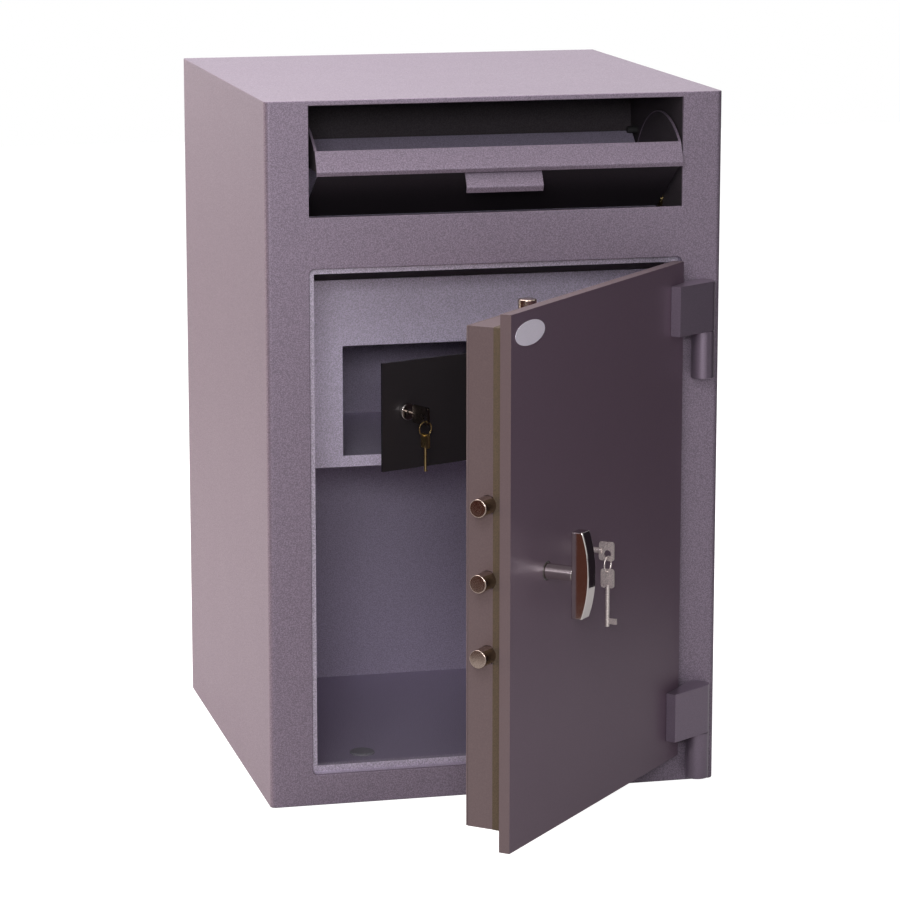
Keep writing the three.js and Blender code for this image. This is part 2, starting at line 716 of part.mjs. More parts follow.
function addHingeBarrels() {
  for (const { name, z } of mainHinges) {
    const top = z + barrelHeight;
    const footSpan = [hinge.x - barrelFootWidth / 2, hinge.x + barrelFootWidth / 2];
    const barrel = join(
      bar('z', knuckleRadius, [z, top], hinge),
      block(footSpan, [hinge.y, front - fit], [z, top]),
    );
    const bore = bar('z', hingePinRadius + fit, [top - hingePinInBarrel - fit, top + cutOverrun], hinge, smallSides);
    addPiece(safe, `${name}_hinge_barrel`, cut(barrel, bore), bodyPaint);
    const pin = bar('z', hingePinRadius, [top - hingePinInBarrel, top + hingePinInLeaf], hinge, smallSides);
    addPiece(safe, `${name}_hinge_pin`, pin, plainSteel);
  }
}

// Main door

const plateLeft = openingLeft + doorGap;
const plateRight = openingRight - doorGap;
const plateBottom = openingBottom + doorGap;
const plateTop = openingTop - doorGap;
const panFront = plateBack + fit;
const panBack = panFront + panDepth;
const panX = [plateLeft + panInset, plateRight - panInset];
const panZ = [plateBottom + panInset, plateTop - panInset];
const handle = { x: plateLeft + handleFromEdge, z: handleHeight };
const key = { x: handle.x + keyFromHandle, z: handle.z + keyAboveHandle };
const boltY = plateBack + boltBehindPlate;
const boltHeights = Array.from({ length: boltCount }, (_, i) => handle.z + (i - (boltCount - 1) / 2) * boltSpacing);
const boltNames = ['side_bolt_lower', 'side_bolt_middle', 'side_bolt_upper'];
const boltTip = plateLeft - boltPastEdge;
const boltRoot = boltTip + boltLength;
const endBoltX = handle.x + endBoltFromHandle;
const caseX = [key.x - lockCaseLeft, key.x + lockCaseRight];
const caseY = [plateBack + lockCaseGap, plateBack + lockCaseGap + lockCaseDepth];

// Layers of the boltwork, counted back from the cam
const camY = [plateBack + camFromPlate, plateBack + camFromPlate + camThickness];
const layer = (number) => {
  const start = camY[1] + linkGap + number * (linkThickness + linkGap);
  return [start, start + linkThickness];
};
const pinPlace = boltThrow / 2;
const pinOrbit = Math.hypot(pinPlace, pinPlace);
const slot = drivePinRadius + driveSlack;

function keyholeSolid(span) {
  const drop = [key.z - keyholeSlotDrop, key.z];
  const slotSpan = [key.x - keyholeSlotWidth / 2, key.x + keyholeSlotWidth / 2];
  return join(bar('y', keyholeRadius, span, key, smallSides), block(slotSpan, span, drop));
}

function addDoorShell(group) {
  const through = [front - cutOverrun, plateBack + cutOverrun];
  const bushRadius = shaftRadius + fit + handleBushWall;
  const plate = block([plateLeft, plateRight], [front, plateBack], [plateBottom, plateTop]);
  const shaftHole = bar('y', bushRadius + fit, through, handle);
  addPiece(group, 'door_plate', cut(plate, shaftHole, keyholeSolid(through)), doorPaint);

  const inner = (span) => [span[0] + panWall, span[1] - panWall];
  const acrossPan = [panFront - cutOverrun, panBack + cutOverrun];
  const holeRadius = boltRadius + fit;
  const sideHoles = boltHeights.map((z) => {
    const span = [panX[0] - cutOverrun, panX[0] + panWall + cutOverrun];
    return bar('x', holeRadius, span, { y: boltY, z });
  });
  const endHole = bar('z', holeRadius, [panZ[0] - cutOverrun, panZ[1] + cutOverrun], { x: endBoltX, y: boltY });
  const box = cut(
    block(panX, [panFront, panBack], panZ),
    block(inner(panX), acrossPan, inner(panZ)),
  );
  addPiece(group, 'door_pan', cut(box, endHole, ...sideHoles), panPaint);
  const cover = block(panX, [panBack + fit, panBack + fit + coverThickness], panZ);
  addPiece(group, 'door_back_cover', cover, panPaint);

  const dogX = [panX[1] + fit, panX[1] + dogReach];
  const dogY = [plateBack + dogFromPlateBack, plateBack + dogFromPlateBack + dogThickness];
  const dogZ = [panZ[0] + dogEndInset, panZ[1] - dogEndInset];
  addPiece(group, 'dog_bar', block(dogX, dogY, dogZ), panPaint);

  for (const { name, z } of mainHinges) {
    const bottom = z + barrelHeight + fit;
    const span = [bottom, bottom + leafHeight];
    const boreTop = z + barrelHeight + hingePinInLeaf + fit;
    const bore = bar('z', hingePinRadius + fit, [bottom - cutOverrun, boreTop], hinge, smallSides);
    const leaf = join(extruded('z', leafOutline(), span), bar('z', knuckleRadius, span, hinge));
    addPiece(group, `${name}_hinge_leaf`, cut(leaf, bore), bodyPaint);
  }

  const badge = new THREE.Shape();
  badge.absellipse(
    plateLeft + badgeFromEdge, plateTop - badgeFromTop, badgeHalfWidth, badgeHalfHeight, 0, 2 * Math.PI,
  );
  addPiece(group, 'door_badge', extruded('y', badge, [front - fit - badgeThickness, front - fit]), badgeSilver);

  const bushSpan = [front + handleBushRecess, camY[0] - fit];
  const boreSpan = [bushSpan[0] - cutOverrun, bushSpan[1] + cutOverrun];
  const bush = cut(bar('y', bushRadius, bushSpan, handle), bar('y', shaftRadius + fit, boreSpan, handle));
  addPiece(group, 'handle_bush', bush, plainSteel);
}

function addHandle(group) {
  const knobBack = front - shaftOut;
  const shaft = bar('y', shaftRadius, [knobBack + fit, camY[0] + camThickness / 2], handle);
  addPiece(group, 'handle_shaft', shaft, chrome);

  const knobEnd = knobBack - knobEndDepth;
  const knobFace = knobBack - knobMiddleDepth;
  const top = handle.z + knobHeight / 2;
  const bottom = handle.z - knobHeight / 2;
  const side = new THREE.Shape();
  side.moveTo(knobBack - knobBevel, top - knobBevel);
  side.lineTo(knobEnd + knobCorner, top - knobBevel);
  side.quadraticCurveTo(knobEnd, top - knobBevel, knobEnd, top - knobCorner);
  side.quadraticCurveTo(2 * knobFace - knobEnd, handle.z, knobEnd, bottom + knobCorner);
  side.quadraticCurveTo(knobEnd, bottom + knobBevel, knobEnd + knobCorner, bottom + knobBevel);
  side.lineTo(knobBack - knobBevel, bottom + knobBevel);
  const options = {
    depth: knobWidth - 2 * knobBevel,
    bevelEnabled: true,
    bevelThickness: knobBevel,
    bevelSize: knobBevel,
    bevelSegments: bevelSteps,
    curveSegments: 2 * arcSteps,
  };
  const knob = new THREE.ExtrudeGeometry(side, options);
  knob.rotateX(Math.PI / 2);
  knob.rotateZ(Math.PI / 2);
  knob.translate(handle.x - knobWidth / 2 + knobBevel, 0, 0);
  addPiece(group, 'handle_knob', solidOf(knob), chrome);

  const disc = cut(
    bar('y', pinOrbit + camRim, camY, handle),
    bar('y', shaftRadius + fit, [camY[0] - cutOverrun, camY[0] + camThickness / 2 + fit], handle),
  );
  const drivePin = (x, z, number) => {
    const span = [camY[1] - fit, layer(number)[1] + fit];
    return bar('y', drivePinRadius, span, { x: handle.x + x, z: handle.z + z }, smallSides);
  };
  const pins = [
    drivePin(-pinPlace, pinPlace, 0),
    drivePin(pinPlace, pinPlace, 1),
    drivePin(-pinPlace, -pinPlace, 2),
  ];
  addPiece(group, 'boltwork_cam', join(disc, ...pins), plainSteel);
}

// A fork round a drive pin, drawn about the handle's axis and open on one side
function forkOutline(points) {
  return polygon(points.map(([x, z]) => [handle.x + x, handle.z + z]));
}

function addSideBolts(group) {
  const outer = slot + forkWall;
  const carriageX = [boltRoot + fit, boltRoot + fit + carriageThickness];
  const carriageY = [boltY - carriageDepth / 2, boltY + carriageDepth / 2];
  const carriageZ = [boltHeights[0] - carriageOverhang, boltHeights[boltCount - 1] + carriageOverhang];
  const slotTop = pinOrbit + slot;
  const forkFoot = pinPlace - slot;
  const armTop = slotTop + armHeight;
  const reach = carriageX[0] - handle.x;
  const arm = forkOutline([
    [reach, slotTop], [-pinPlace - outer, slotTop], [-pinPlace - outer, forkFoot],
    [-pinPlace - slot, forkFoot], [-pinPlace - slot, slotTop], [-pinPlace + slot, slotTop],
    [-pinPlace + slot, forkFoot], [-pinPlace + outer, forkFoot], [-pinPlace + outer, armTop],
    [reach, armTop],
  ]);
  const carriage = join(block(carriageX, carriageY, carriageZ), extruded('y', arm, layer(0)));
  addPiece(group, 'bolt_carriage', carriage, plainSteel);

  boltHeights.forEach((z, i) => {
    const nose = new THREE.CylinderGeometry(boltRadius, boltRadius - boltChamfer, boltChamfer, roundSides);
    nose.rotateZ(-Math.PI / 2);
    nose.translate(boltTip + boltChamfer / 2, boltY, z);
    const rod = bar('x', boltRadius, [boltTip + boltChamfer, boltRoot], { y: boltY, z });
    addPiece(group, boltNames[i], join(rod, solidOf(nose)), nickel);
  });

  const guideX = [panX[0] + panWall + fit, panX[0] + panWall + fit + guideThickness];
  const guideY = [boltY - guideWidth / 2, boltY + guideWidth / 2];
  const guideZ = [carriageZ[0] + guideEnd - carriageOverhang, carriageZ[1] - guideEnd + carriageOverhang];
  const holes = boltHeights.map((z) => {
    const span = [guideX[0] - cutOverrun, guideX[1] + cutOverrun];
    return bar('x', boltRadius + fit, span, { y: boltY, z });
  });
  addPiece(group, 'side_bolt_guide', cut(block(guideX, guideY, guideZ), ...holes), plainSteel);
}

function addEndBolts(group) {
  const outer = slot + forkWall;
  const barX = [endBoltX - barWidth / 2, endBoltX + barWidth / 2];
  const barEdge = barX[1] - handle.x;
  const slotEnd = pinOrbit + slot;
  const topFork = forkOutline([
    [pinPlace - slot, pinPlace + outer], [barEdge, pinPlace + outer], [barEdge, pinPlace - outer],
    [pinPlace - slot, pinPlace - outer], [pinPlace - slot, pinPlace - slot],
    [slotEnd, pinPlace - slot], [slotEnd, pinPlace + slot], [pinPlace - slot, pinPlace + slot],
  ]);
  const bottomFork = forkOutline([
    [-slotEnd, -pinPlace + outer], [barEdge, -pinPlace + outer], [barEdge, -pinPlace - outer],
    [-slotEnd, -pinPlace - outer], [-slotEnd, -pinPlace - slot],
    [-pinPlace + slot, -pinPlace - slot], [-pinPlace + slot, -pinPlace + slot], [-slotEnd, -pinPlace + slot],
  ]);
  const topTip = panZ[1] + endBoltPastPan;
  const topRoot = topTip - endBoltLength;
  const bottomTip = panZ[0] - endBoltPastPan;
  const bottomRoot = bottomTip + endBoltLength;
  const place = { x: endBoltX, y: boltY };
  addPiece(group, 'top_bolt', bar('z', boltRadius, [topRoot, topTip], place), nickel);
  addPiece(group, 'bottom_bolt', bar('z', boltRadius, [bottomTip, bottomRoot], place), nickel);
  const topBar = join(
    extruded('y', topFork, layer(1)),
    block(barX, layer(1), [handle.z + pinPlace + slot, topRoot - fit]),
  );
  addPiece(group, 'top_bolt_bar', topBar, plainSteel);
  const bottomBar = join(
    extruded('y', bottomFork, layer(2)),
    block(barX, layer(2), [bottomRoot + fit, handle.z - pinPlace]),
  );
  addPiece(group, 'bottom_bolt_bar', bottomBar, plainSteel);
}

function addMainLock(group) {
  const boltTop = handle.z + pinPlace - slot - forkWall - lockBoltGap;
  const boltZ = [boltTop - lockBoltHeight, boltTop];
  const boltX = [endBoltX + barWidth / 2 + lockBoltTip, key.x - lockBoltFromKey];
  const boltMiddle = (layer(1)[0] + layer(1)[1]) / 2;
  const boltDepth = [boltMiddle - lockBoltThickness / 2, boltMiddle + lockBoltThickness / 2];
  addPiece(group, 'lock_bolt', block(boltX, boltDepth, boltZ), brass);

  const chamberY = [caseY[0] + bitChamberStart, caseY[0] + bitChamberStart + bitChamberDepth];
  const track = (span) => [span[0] - fit, span[1] + fit];
  const body = block(caseX, caseY, [key.z - lockCaseDrop, key.z + lockCaseRise]);
  const lockCase = cut(
    body,
    keyholeSolid([caseY[0] - cutOverrun, chamberY[0] + fit]),
    bar('y', bitChamberRadius, chamberY, key),
    bar('y', keyholeRadius, [chamberY[0], plateBack + mainKeySizes.stemInside - fit], key, smallSides),
    block([caseX[0] - cutOverrun, key.x - lockBoltFromKey + fit], track(boltDepth), track(boltZ)),
  );
  addPiece(group, 'lock_case', lockCase, plainSteel);
  addPiece(group, 'main_key', keySolid(mainKeySizes, key.x, key.z, front), nickel);
  addPiece(group, 'main_key_ring', ringSolid(mainKeySizes, key.x, key.z, front), nickel);
}

addBody();
addRebate();
addDepositChamber();
addHopper();
addCoffer();
addCofferDoor();
addHingeBarrels();
const mainDoor = swungGroup(hinge.x, hinge.y, doorOpen);
addDoorShell(mainDoor);
addHandle(mainDoor);
addSideBolts(mainDoor);
addEndBolts(mainDoor);
addMainLock(mainDoor);

export default safe;
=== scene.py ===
# A drop safe with a tilting deposit drawer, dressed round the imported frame.
# Metres, in the frame's own axes. Pieces of a door are drawn shut and then turned to where it stands.

import json
import math

import bmesh
import bpy
from mathutils import Matrix, Vector

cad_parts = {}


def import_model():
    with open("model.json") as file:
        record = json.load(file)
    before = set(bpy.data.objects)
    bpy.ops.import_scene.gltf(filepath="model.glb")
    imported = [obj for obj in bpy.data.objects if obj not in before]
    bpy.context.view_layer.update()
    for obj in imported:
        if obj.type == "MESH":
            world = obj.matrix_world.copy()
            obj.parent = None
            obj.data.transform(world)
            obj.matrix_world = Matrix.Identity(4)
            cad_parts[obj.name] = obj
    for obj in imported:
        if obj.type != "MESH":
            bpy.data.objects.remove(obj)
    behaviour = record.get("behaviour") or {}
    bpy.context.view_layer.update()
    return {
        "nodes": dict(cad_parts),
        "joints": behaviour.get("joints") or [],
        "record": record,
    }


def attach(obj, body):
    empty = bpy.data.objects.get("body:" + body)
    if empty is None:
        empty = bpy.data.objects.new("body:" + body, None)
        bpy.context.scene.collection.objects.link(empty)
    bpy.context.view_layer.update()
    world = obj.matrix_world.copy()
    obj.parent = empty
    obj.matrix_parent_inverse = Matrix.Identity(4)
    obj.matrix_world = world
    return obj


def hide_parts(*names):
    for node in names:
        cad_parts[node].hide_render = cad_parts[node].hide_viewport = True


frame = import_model()

MM = 0.001

# Body
WALL = 4 * MM
EDGE_RADIUS = 6 * MM
REAR_RADIUS = 1.5 * MM
REAR_STEPS = 4
EDGE_BREAK = 1.2 * MM
RIM_BREAK = 0.9 * MM
RIM_ANGLE = math.radians(70)
ON_THE_FRONT = 0.005 * MM
APERTURE_TOP_STRIP = 5.5 * MM
APERTURE_HEIGHT = 117.5 * MM
JAMB = 3 * MM
OPENING_CORNER = 5 * MM
COAT = 0.3 * MM
OVERRUN = 5 * MM
REBATE_BREAK = 0.9 * MM
COFFER_HINGE_BREAK = 0.3 * MM
BUSH_BREAK = 0.4 * MM
BUFFER_BREAK = 0.6 * MM

# Anchor caps. The section gives how far under the top and how far in from the rim each point lies.
ANCHOR_CAPS = ("anchor_cap_front", "anchor_cap_rear")
ANCHOR_HOLE = 8 * MM
HOLE_BREAK = 1 * MM
PLUG_SLACK = 0.5 * MM
CAP_LIFT = 0.2 * MM
CAP_RIM = 0.5 * MM
CAP_RIM_BREAK = 0.4 * MM
CAP_SECTION = ((1.2 * MM, 0), (0.3 * MM, 1.2 * MM), (0, 3 * MM), (0.4 * MM, 5 * MM))

# Main hinges
HINGE_FOOT = 7 * MM
HINGE_BREAK = 1 * MM
LEAF_END = 11 * MM
LEAF_BREAK = 0.9 * MM
BARREL_STEPS = 48
KNUCKLE_STEPS = 36

# Sheet work
SHEET = 2 * MM
SHEET_BREAK = 0.5 * MM
BEND_RADIUS = 2.5 * MM
BEND_STEPS = 6

# Deposit drawer, in y and z. The bend between its lip and its front plate is placed from the body's front
# and from the aperture's lower edge.
BEND_FORWARD = 12.5 * MM
BEND_RISE = 49 * MM
LIP_TOP = Vector((11 * MM, 21 * MM))
LIP_HEM = Vector((2 * MM, -4.3 * MM))
LIP_BEND = 1.2 * MM
BACK_SLOPE = math.radians(37.5)
BACK_LENGTH = 120 * MM
PIVOT_TO_SHEET = 8 * MM
INSIDE_ENDS = 2.3 * MM
PLATE_TOP_GAP = 1 * MM
PLATE_FOOT = 6 * MM
RIM_FORWARD = 14 * MM
RIM_DROP = 10 * MM
RIM_TOP = Vector((1.3 * MM, 0))
RIM_OUTSIDE = 0.8 * MM
RIM_INSIDE = 0.2 * MM
RIM_OVERLAP = 0.3 * MM
RIM_STEPS = 48
GRIP_DOWN = 8 * MM
GRIP_ROOT = 1.3 * MM
GRIP_REACH = 17 * MM
GRIP_HEM = Vector((2.5 * MM, -6 * MM))
GRIP_SHEET = 2.5 * MM
GRIP_BEND = 1.5 * MM
GRIP_BREAK = 0.6 * MM

# Main door
SLAB_BREAK = 0.9 * MM
COVER_BREAK = 0.7 * MM
DOG_BAR_BREAK = 1 * MM
HANDLE_BUSH_BREAK = 0.4 * MM
BADGE_BREAK = 0.25 * MM
BADGE_STEPS = 96
# A dark strip round the pan's foot: painted shade between the pan and the door plate.
SHADE_STRIP_WIDTH = 16 * MM
SHADE_STRIP_LIFT = 0.2 * MM
SHADE_STRIP_PROUD = 0.5 * MM
SHADE_STRIP_SUNK = 0.3 * MM
SHADE_STRIP_OUTER_CORNER = 1.5 * MM
SHADE_STRIP_INNER_CORNER = 1 * MM
SHADE_STRIP_CORNER_STEPS = 4
SHADE_STRIP_BREAK = 0.2 * MM

# Cover screws. The section gives how far over the cover each point lies, and its share of the head's radius.
SCREW_HEAD = 3.4 * MM
SCREW_RISE = 1.8 * MM
SCREW_SINK = 0.2 * MM
SCREW_SECTION = ((0.5 * MM, 1), (1.2 * MM, 0.85), (SCREW_RISE, 0.45))
SCREW_INSET = 14 * MM
SCREW_ROWS = 4
SLOT_REACH = 2.2 * MM
SLOT_HALF = 0.4 * MM
SLOT_FLOOR = 0.8 * MM
SLOT_TOP = 3 * MM

# Handle, bolts, keys and coffer door
SHAFT_BREAK = 0.5 * MM
KNOB_END = 13 * MM
KNOB_CORNER = 2.5 * MM
KNOB_CORNER_STEPS = 6
KNOB_STEPS = 40
KNOB_FULLNESS = 2.2
KNOB_BREAK = 1.4 * MM
KNOB_ANGLE = math.radians(50)
BOLT_BREAK = 1.4 * MM
KEY_BREAK = 0.4 * MM
SPARE_KEY_BREAK = 0.3 * MM
COFFER_DOOR_BREAK = 0.4 * MM
COFFER_LOCK_BREAK = 0.8 * MM

# Turned work
ROUND = 64
SMALL_ROUND = 32
ARC_STEPS = 10
END_STEPS = 4

# Mesh work. A broken edge has two facets, three where it shows most and four on the handle.
FACETS = 2
FINE_FACETS = 3
KNOB_FACETS = 4
SHARP_ANGLE = math.radians(38)
BEVEL_ANGLE = math.radians(28)
FLAT_ANGLE = math.radians(0.4)
NODE_WELD = 0.002 * MM
CUT_WELD = 0.001 * MM


# Places, read from the frame

def joint(name):
    return next(j for j in frame["joints"] if j["name"] == name)


def opened(name):
    """The turn that takes a piece drawn shut to where its door stands at rest."""
    hinge = joint(name)
    pivot = Matrix.Translation(Vector(hinge["pos_m"]))
    turn = Matrix.Rotation(math.radians(-hinge["range_deg"][0]), 4, Vector(hinge["axis"]))
    return pivot @ turn @ pivot.inverted()


STILL = Matrix.Identity(4)
MAIN_DOOR = opened("main_door")
COFFER_DOOR = opened("coffer_door")
DOOR_FACE = MAIN_DOOR.to_3x3() @ Vector((0, -1, 0))


def span(node, turn=STILL):
    """The lowest and highest corner of a node, measured with its door shut."""
    inverse = turn.inverted()
    points = [inverse @ v.co for v in frame["nodes"][node].data.vertices]
    low = Vector(min(p[i] for p in points) for i in range(3))
    high = Vector(max(p[i] for p in points) for i in range(3))
    return low, high


# Materials

NOISE_LOW = 0.3
NOISE_HIGH = 0.7


class Graph:
    """A material's node tree, with nodes added in a line each."""

    def __init__(self, name):
        self.material = bpy.data.materials.new(name)
        self.material.use_nodes = True
        self.tree = self.material.node_tree
        self.shader = self.tree.nodes["Principled BSDF"]
        self.coordinates = self.add("ShaderNodeTexCoord")

    def add(self, kind, **values):
        node = self.tree.nodes.new(kind)
        for key, value in values.items():
            setattr(node, key, value)
        return node

    def link(self, source, target):
        self.tree.links.new(source, target)

    def noise(self, scale, detail):
        node = self.add("ShaderNodeTexNoise")
        node.inputs["Scale"].default_value = scale
        node.inputs["Detail"].default_value = detail
        self.link(self.coordinates.outputs["Object"], node.inputs["Vector"])
        return node.outputs["Fac"]

    def facing(self, direction):
        """One on faces square to a direction, falling to nothing on faces along it."""
        product = self.add("ShaderNodeVectorMath", operation="DOT_PRODUCT")
        product.inputs[1].default_value = direction
        self.link(self.coordinates.outputs["Normal"], product.inputs[0])
        size = self.add("ShaderNodeMath", operation="ABSOLUTE")
        self.link(product.outputs["Value"], size.inputs[0])
        return size.outputs[0]

    def spread(self, noise, low, high):
        """The noise's usual range stretched between two values."""
        node = self.add("ShaderNodeMapRange")
        node.inputs["From Min"].default_value = NOISE_LOW
        node.inputs["From Max"].default_value = NOISE_HIGH
        node.inputs["To Min"].default_value = low
        node.inputs["To Max"].default_value = high
        self.link(noise, node.inputs["Value"])
        return node.outputs["Result"]

    def tones(self, noise, color, darker, lighter, start=0.35, end=0.65):
        """A colour that the noise takes from a darker to a lighter shade, by shares of itself."""
        node = self.add("ShaderNodeValToRGB")
        ends = node.color_ramp.elements
        ends[0].position = start
        ends[0].color = (*tinted(color, 1 - darker), 1)
        ends[1].position = end
        ends[1].color = (*tinted(color, 1 + lighter), 1)
        self.link(noise, node.inputs["Fac"])
        return node.outputs["Color"]

    def bump(self, height, strength, distance):
        node = self.add("ShaderNodeBump")
        node.inputs["Strength"].default_value = strength
        node.inputs["Distance"].default_value = distance
        self.link(height, node.inputs["Height"])
        self.link(node.outputs["Normal"], self.shader.inputs["Normal"])

    def color(self, source):
        self.link(source, self.shader.inputs["Base Color"])

    def roughness(self, source):
        self.link(source, self.shader.inputs["Roughness"])


def tinted(color, factor):
    return tuple(channel * factor for channel in color)


# Hammered paint: its grain, and the slow drift of its gloss
HAMMER_CELL = 1.1 * MM
HAMMER_DETAIL = 1.5
HAMMER_TONES = (0.36, 0.66)
HAMMER_HEIGHT = 0.25 * MM
DRIFT_SCALE = 9
DRIFT_DETAIL = 2
ROUGHNESS_DRIFT = 0.01


def hammered_paint(
    name, color, roughness, metallic, contrast=0.26, relief=0.45,
    cell=HAMMER_CELL, shine=0.5, edge=None, face=None,
):
    """Stove enamel with a fine hammered grain and a slight glint. Edges may take a painted light tint."""
    graph = Graph(name)
    grain = graph.noise(1 / cell, HAMMER_DETAIL)
    shade = graph.tones(grain, color, contrast, contrast, *HAMMER_TONES)
    # The edge tint is painted light: faces along the given direction take a tone of their own.
    if edge:
        rim = graph.tones(grain, edge, contrast, contrast, *HAMMER_TONES)
        mix = graph.add("ShaderNodeMix", data_type="RGBA")
        graph.link(graph.facing(face), mix.inputs["Factor"])
        graph.link(rim, mix.inputs["A"])
        graph.link(shade, mix.inputs["B"])
        shade = mix.outputs["Result"]
    graph.color(shade)
    drift = graph.noise(DRIFT_SCALE, DRIFT_DETAIL)
    graph.roughness(graph.spread(drift, roughness - ROUGHNESS_DRIFT, roughness + ROUGHNESS_DRIFT))
    graph.bump(grain, relief, HAMMER_HEIGHT)
    graph.shader.inputs["Metallic"].default_value = metallic
    graph.shader.inputs["Specular IOR Level"].default_value = shine
    return graph.material


# Metal: its fine marks, and the broader smears that change its gloss
MARK_SCALE = 900
MARK_DETAIL = 3
MARK_HEIGHT = 0.05 * MM
SMEAR_SCALE = 60
SMEAR_DETAIL = 3
SMEAR_GLOSS = (0.8, 1.3)


def metal(name, color, roughness, contrast=0.08, relief=0.05, metallic=1.0):
    """Bare or plated metal with fine marks."""
    graph = Graph(name)
    marks = graph.noise(MARK_SCALE, MARK_DETAIL)
    graph.color(graph.tones(marks, color, contrast, contrast / 2))
    smear = graph.noise(SMEAR_SCALE, SMEAR_DETAIL)
    graph.roughness(graph.spread(smear, *(roughness * share for share in SMEAR_GLOSS)))
    graph.bump(marks, relief, MARK_HEIGHT)
    graph.shader.inputs["Metallic"].default_value = metallic
    return graph.material


# Matte: the grain of rubber and plastic
MATTE_SCALE = 700
MATTE_DETAIL = 4
MATTE_HEIGHT = 0.1 * MM
MATTE_SPREAD = 0.05


def matte(name, color, roughness, contrast=0.2, relief=0.2):
    """Rubber or dull plastic."""
    graph = Graph(name)
    grain = graph.noise(MATTE_SCALE, MATTE_DETAIL)
    graph.color(graph.tones(grain, color, contrast, contrast))
    graph.roughness(graph.spread(grain, roughness - MATTE_SPREAD, roughness + MATTE_SPREAD))
    graph.bump(grain, relief, MATTE_HEIGHT)
    return graph.material


PAINTS = {
    "body_paint": dict(color=(0.245, 0.194, 0.250), roughness=0.46, metallic=0.35),
    "door_paint": dict(
        color=(0.165, 0.110, 0.150), roughness=0.42, metallic=0.25, contrast=0.05, relief=0.06,
        # The door's edges take a warmer tone, a painted warm light from the left.
        edge=(0.165, 0.120, 0.128), face=DOOR_FACE,
    ),
    "pan_paint": dict(
        color=(0.170, 0.125, 0.130), roughness=0.45, metallic=0.35, contrast=0.07,
        relief=0.15, cell=1.4 * MM,
    ),
    # Near black: painted shade inside the deposit chamber.
    "chamber_paint": dict(
        color=(0.060, 0.050, 0.056), roughness=0.55, metallic=0.0, contrast=0.20, relief=0.30, shine=0.1,
    ),
    # Light lilac paint of the coffer, partly painted light that brightens it deep in the doorway.
    "coffer_paint": dict(
        color=(0.720, 0.640, 0.800), roughness=0.42, metallic=0.30, contrast=0.22, relief=0.50,
    ),
    # Lighter paint inside the safe, partly painted light; on the drawer scoop it is painted light.
    "inside_paint": dict(
        color=(0.430, 0.375, 0.490), roughness=0.46, metallic=0.30, contrast=0.22, relief=0.40,
    ),
    "coffer_door_paint": dict(
        color=(0.022, 0.018, 0.020), roughness=0.5, metallic=0.1, contrast=0.10, relief=0.1,
    ),
    "hinge_paint": dict(
        color=(0.235, 0.185, 0.240), roughness=0.30, metallic=0.55, contrast=0.06, relief=0.05,
    ),
    # The rebate, drawn lighter than the body paint: a painted highlight along the doorway's step.
    "rebate_paint": dict(
        color=(0.520, 0.460, 0.560), roughness=0.36, metallic=0.45, contrast=0.30, relief=0.50,
    ),
    # The drawer's front plate under the lip, drawn near black: painted shade.
    "drawer_underside": dict(
        color=(0.030, 0.024, 0.030), roughness=0.55, metallic=0.0, contrast=0.20, relief=0.30, shine=0.2,
    ),
}

METALS = {
    "chrome": dict(color=(0.62, 0.58, 0.56), roughness=0.06, contrast=0.03, relief=0.02),
    "nickel": dict(color=(0.50, 0.43, 0.36), roughness=0.16, relief=0.01),
    "bolt_nickel": dict(color=(0.42, 0.34, 0.29), roughness=0.19, contrast=0.20, relief=0.08),
    "steel": dict(color=(0.42, 0.41, 0.40), roughness=0.34, contrast=0.12),
    "brass": dict(color=(0.48, 0.36, 0.16), roughness=0.26),
    "badge": dict(color=(0.93, 0.86, 0.97), roughness=0.42, contrast=0.04, metallic=0.1),
    "key_dark": dict(color=(0.16, 0.13, 0.11), roughness=0.22, contrast=0.30, relief=0.3),
    # A lighter, less metallic copy of the nickel for the main keys: painted light.
    "key_nickel": dict(color=(0.80, 0.72, 0.68), roughness=0.30, contrast=0.30, relief=0.5, metallic=0.7),
}

MATTES = {
    "rubber": dict(color=(0.020, 0.019, 0.019), roughness=0.7),
    # Dark brown for the strip round the pan's foot: painted shade.
    "seal": dict(color=(0.090, 0.064, 0.040), roughness=0.8),
    "cap_grey": dict(color=(0.230, 0.220, 0.240), roughness=0.5),
}

LOOKS = {}
for make, table in ((hammered_paint, PAINTS), (metal, METALS), (matte, MATTES)):
    LOOKS.update({name: make(name, **values) for name, values in table.items()})


def dress_nodes():
    """Every CAD node takes the procedural look of its slot."""
    slots = {part["node"]: part["material_slot"] for part in frame["record"]["subparts"]}
    for name, node in frame["nodes"].items():
        for holder in node.material_slots:
            holder.link = "OBJECT"
            holder.material = LOOKS[slots[name]]


# Meshes

def finish(name, bm, body, slot, turn=STILL, replaces=(), smooth=SHARP_ANGLE, look=None):
    """Makes a piece from a bmesh drawn shut, and sets it on its body. A look is a shade of its slot."""
    bmesh.ops.recalc_face_normals(bm, faces=bm.faces)
    mesh = bpy.data.meshes.new(name)
    bm.to_mesh(mesh)
    bm.free()
    mesh.transform(turn)
    mesh.polygons.foreach_set("use_smooth", [True] * len(mesh.polygons))
    mesh.set_sharp_from_angle(angle=smooth)
    mesh.materials.append(LOOKS[look or slot])
    piece = bpy.data.objects.new(name, mesh)
    bpy.context.scene.collection.objects.link(piece)
    weighted = piece.modifiers.new("flat_faces_keep_flat", "WEIGHTED_NORMAL")
    weighted.keep_sharp = True
    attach(piece, body)
    if replaces:
        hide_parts(*replaces)


def sharp_edges(bm, angle=BEVEL_ANGLE):
    return [e for e in bm.edges if len(e.link_faces) == 2 and e.calc_face_angle() > angle]


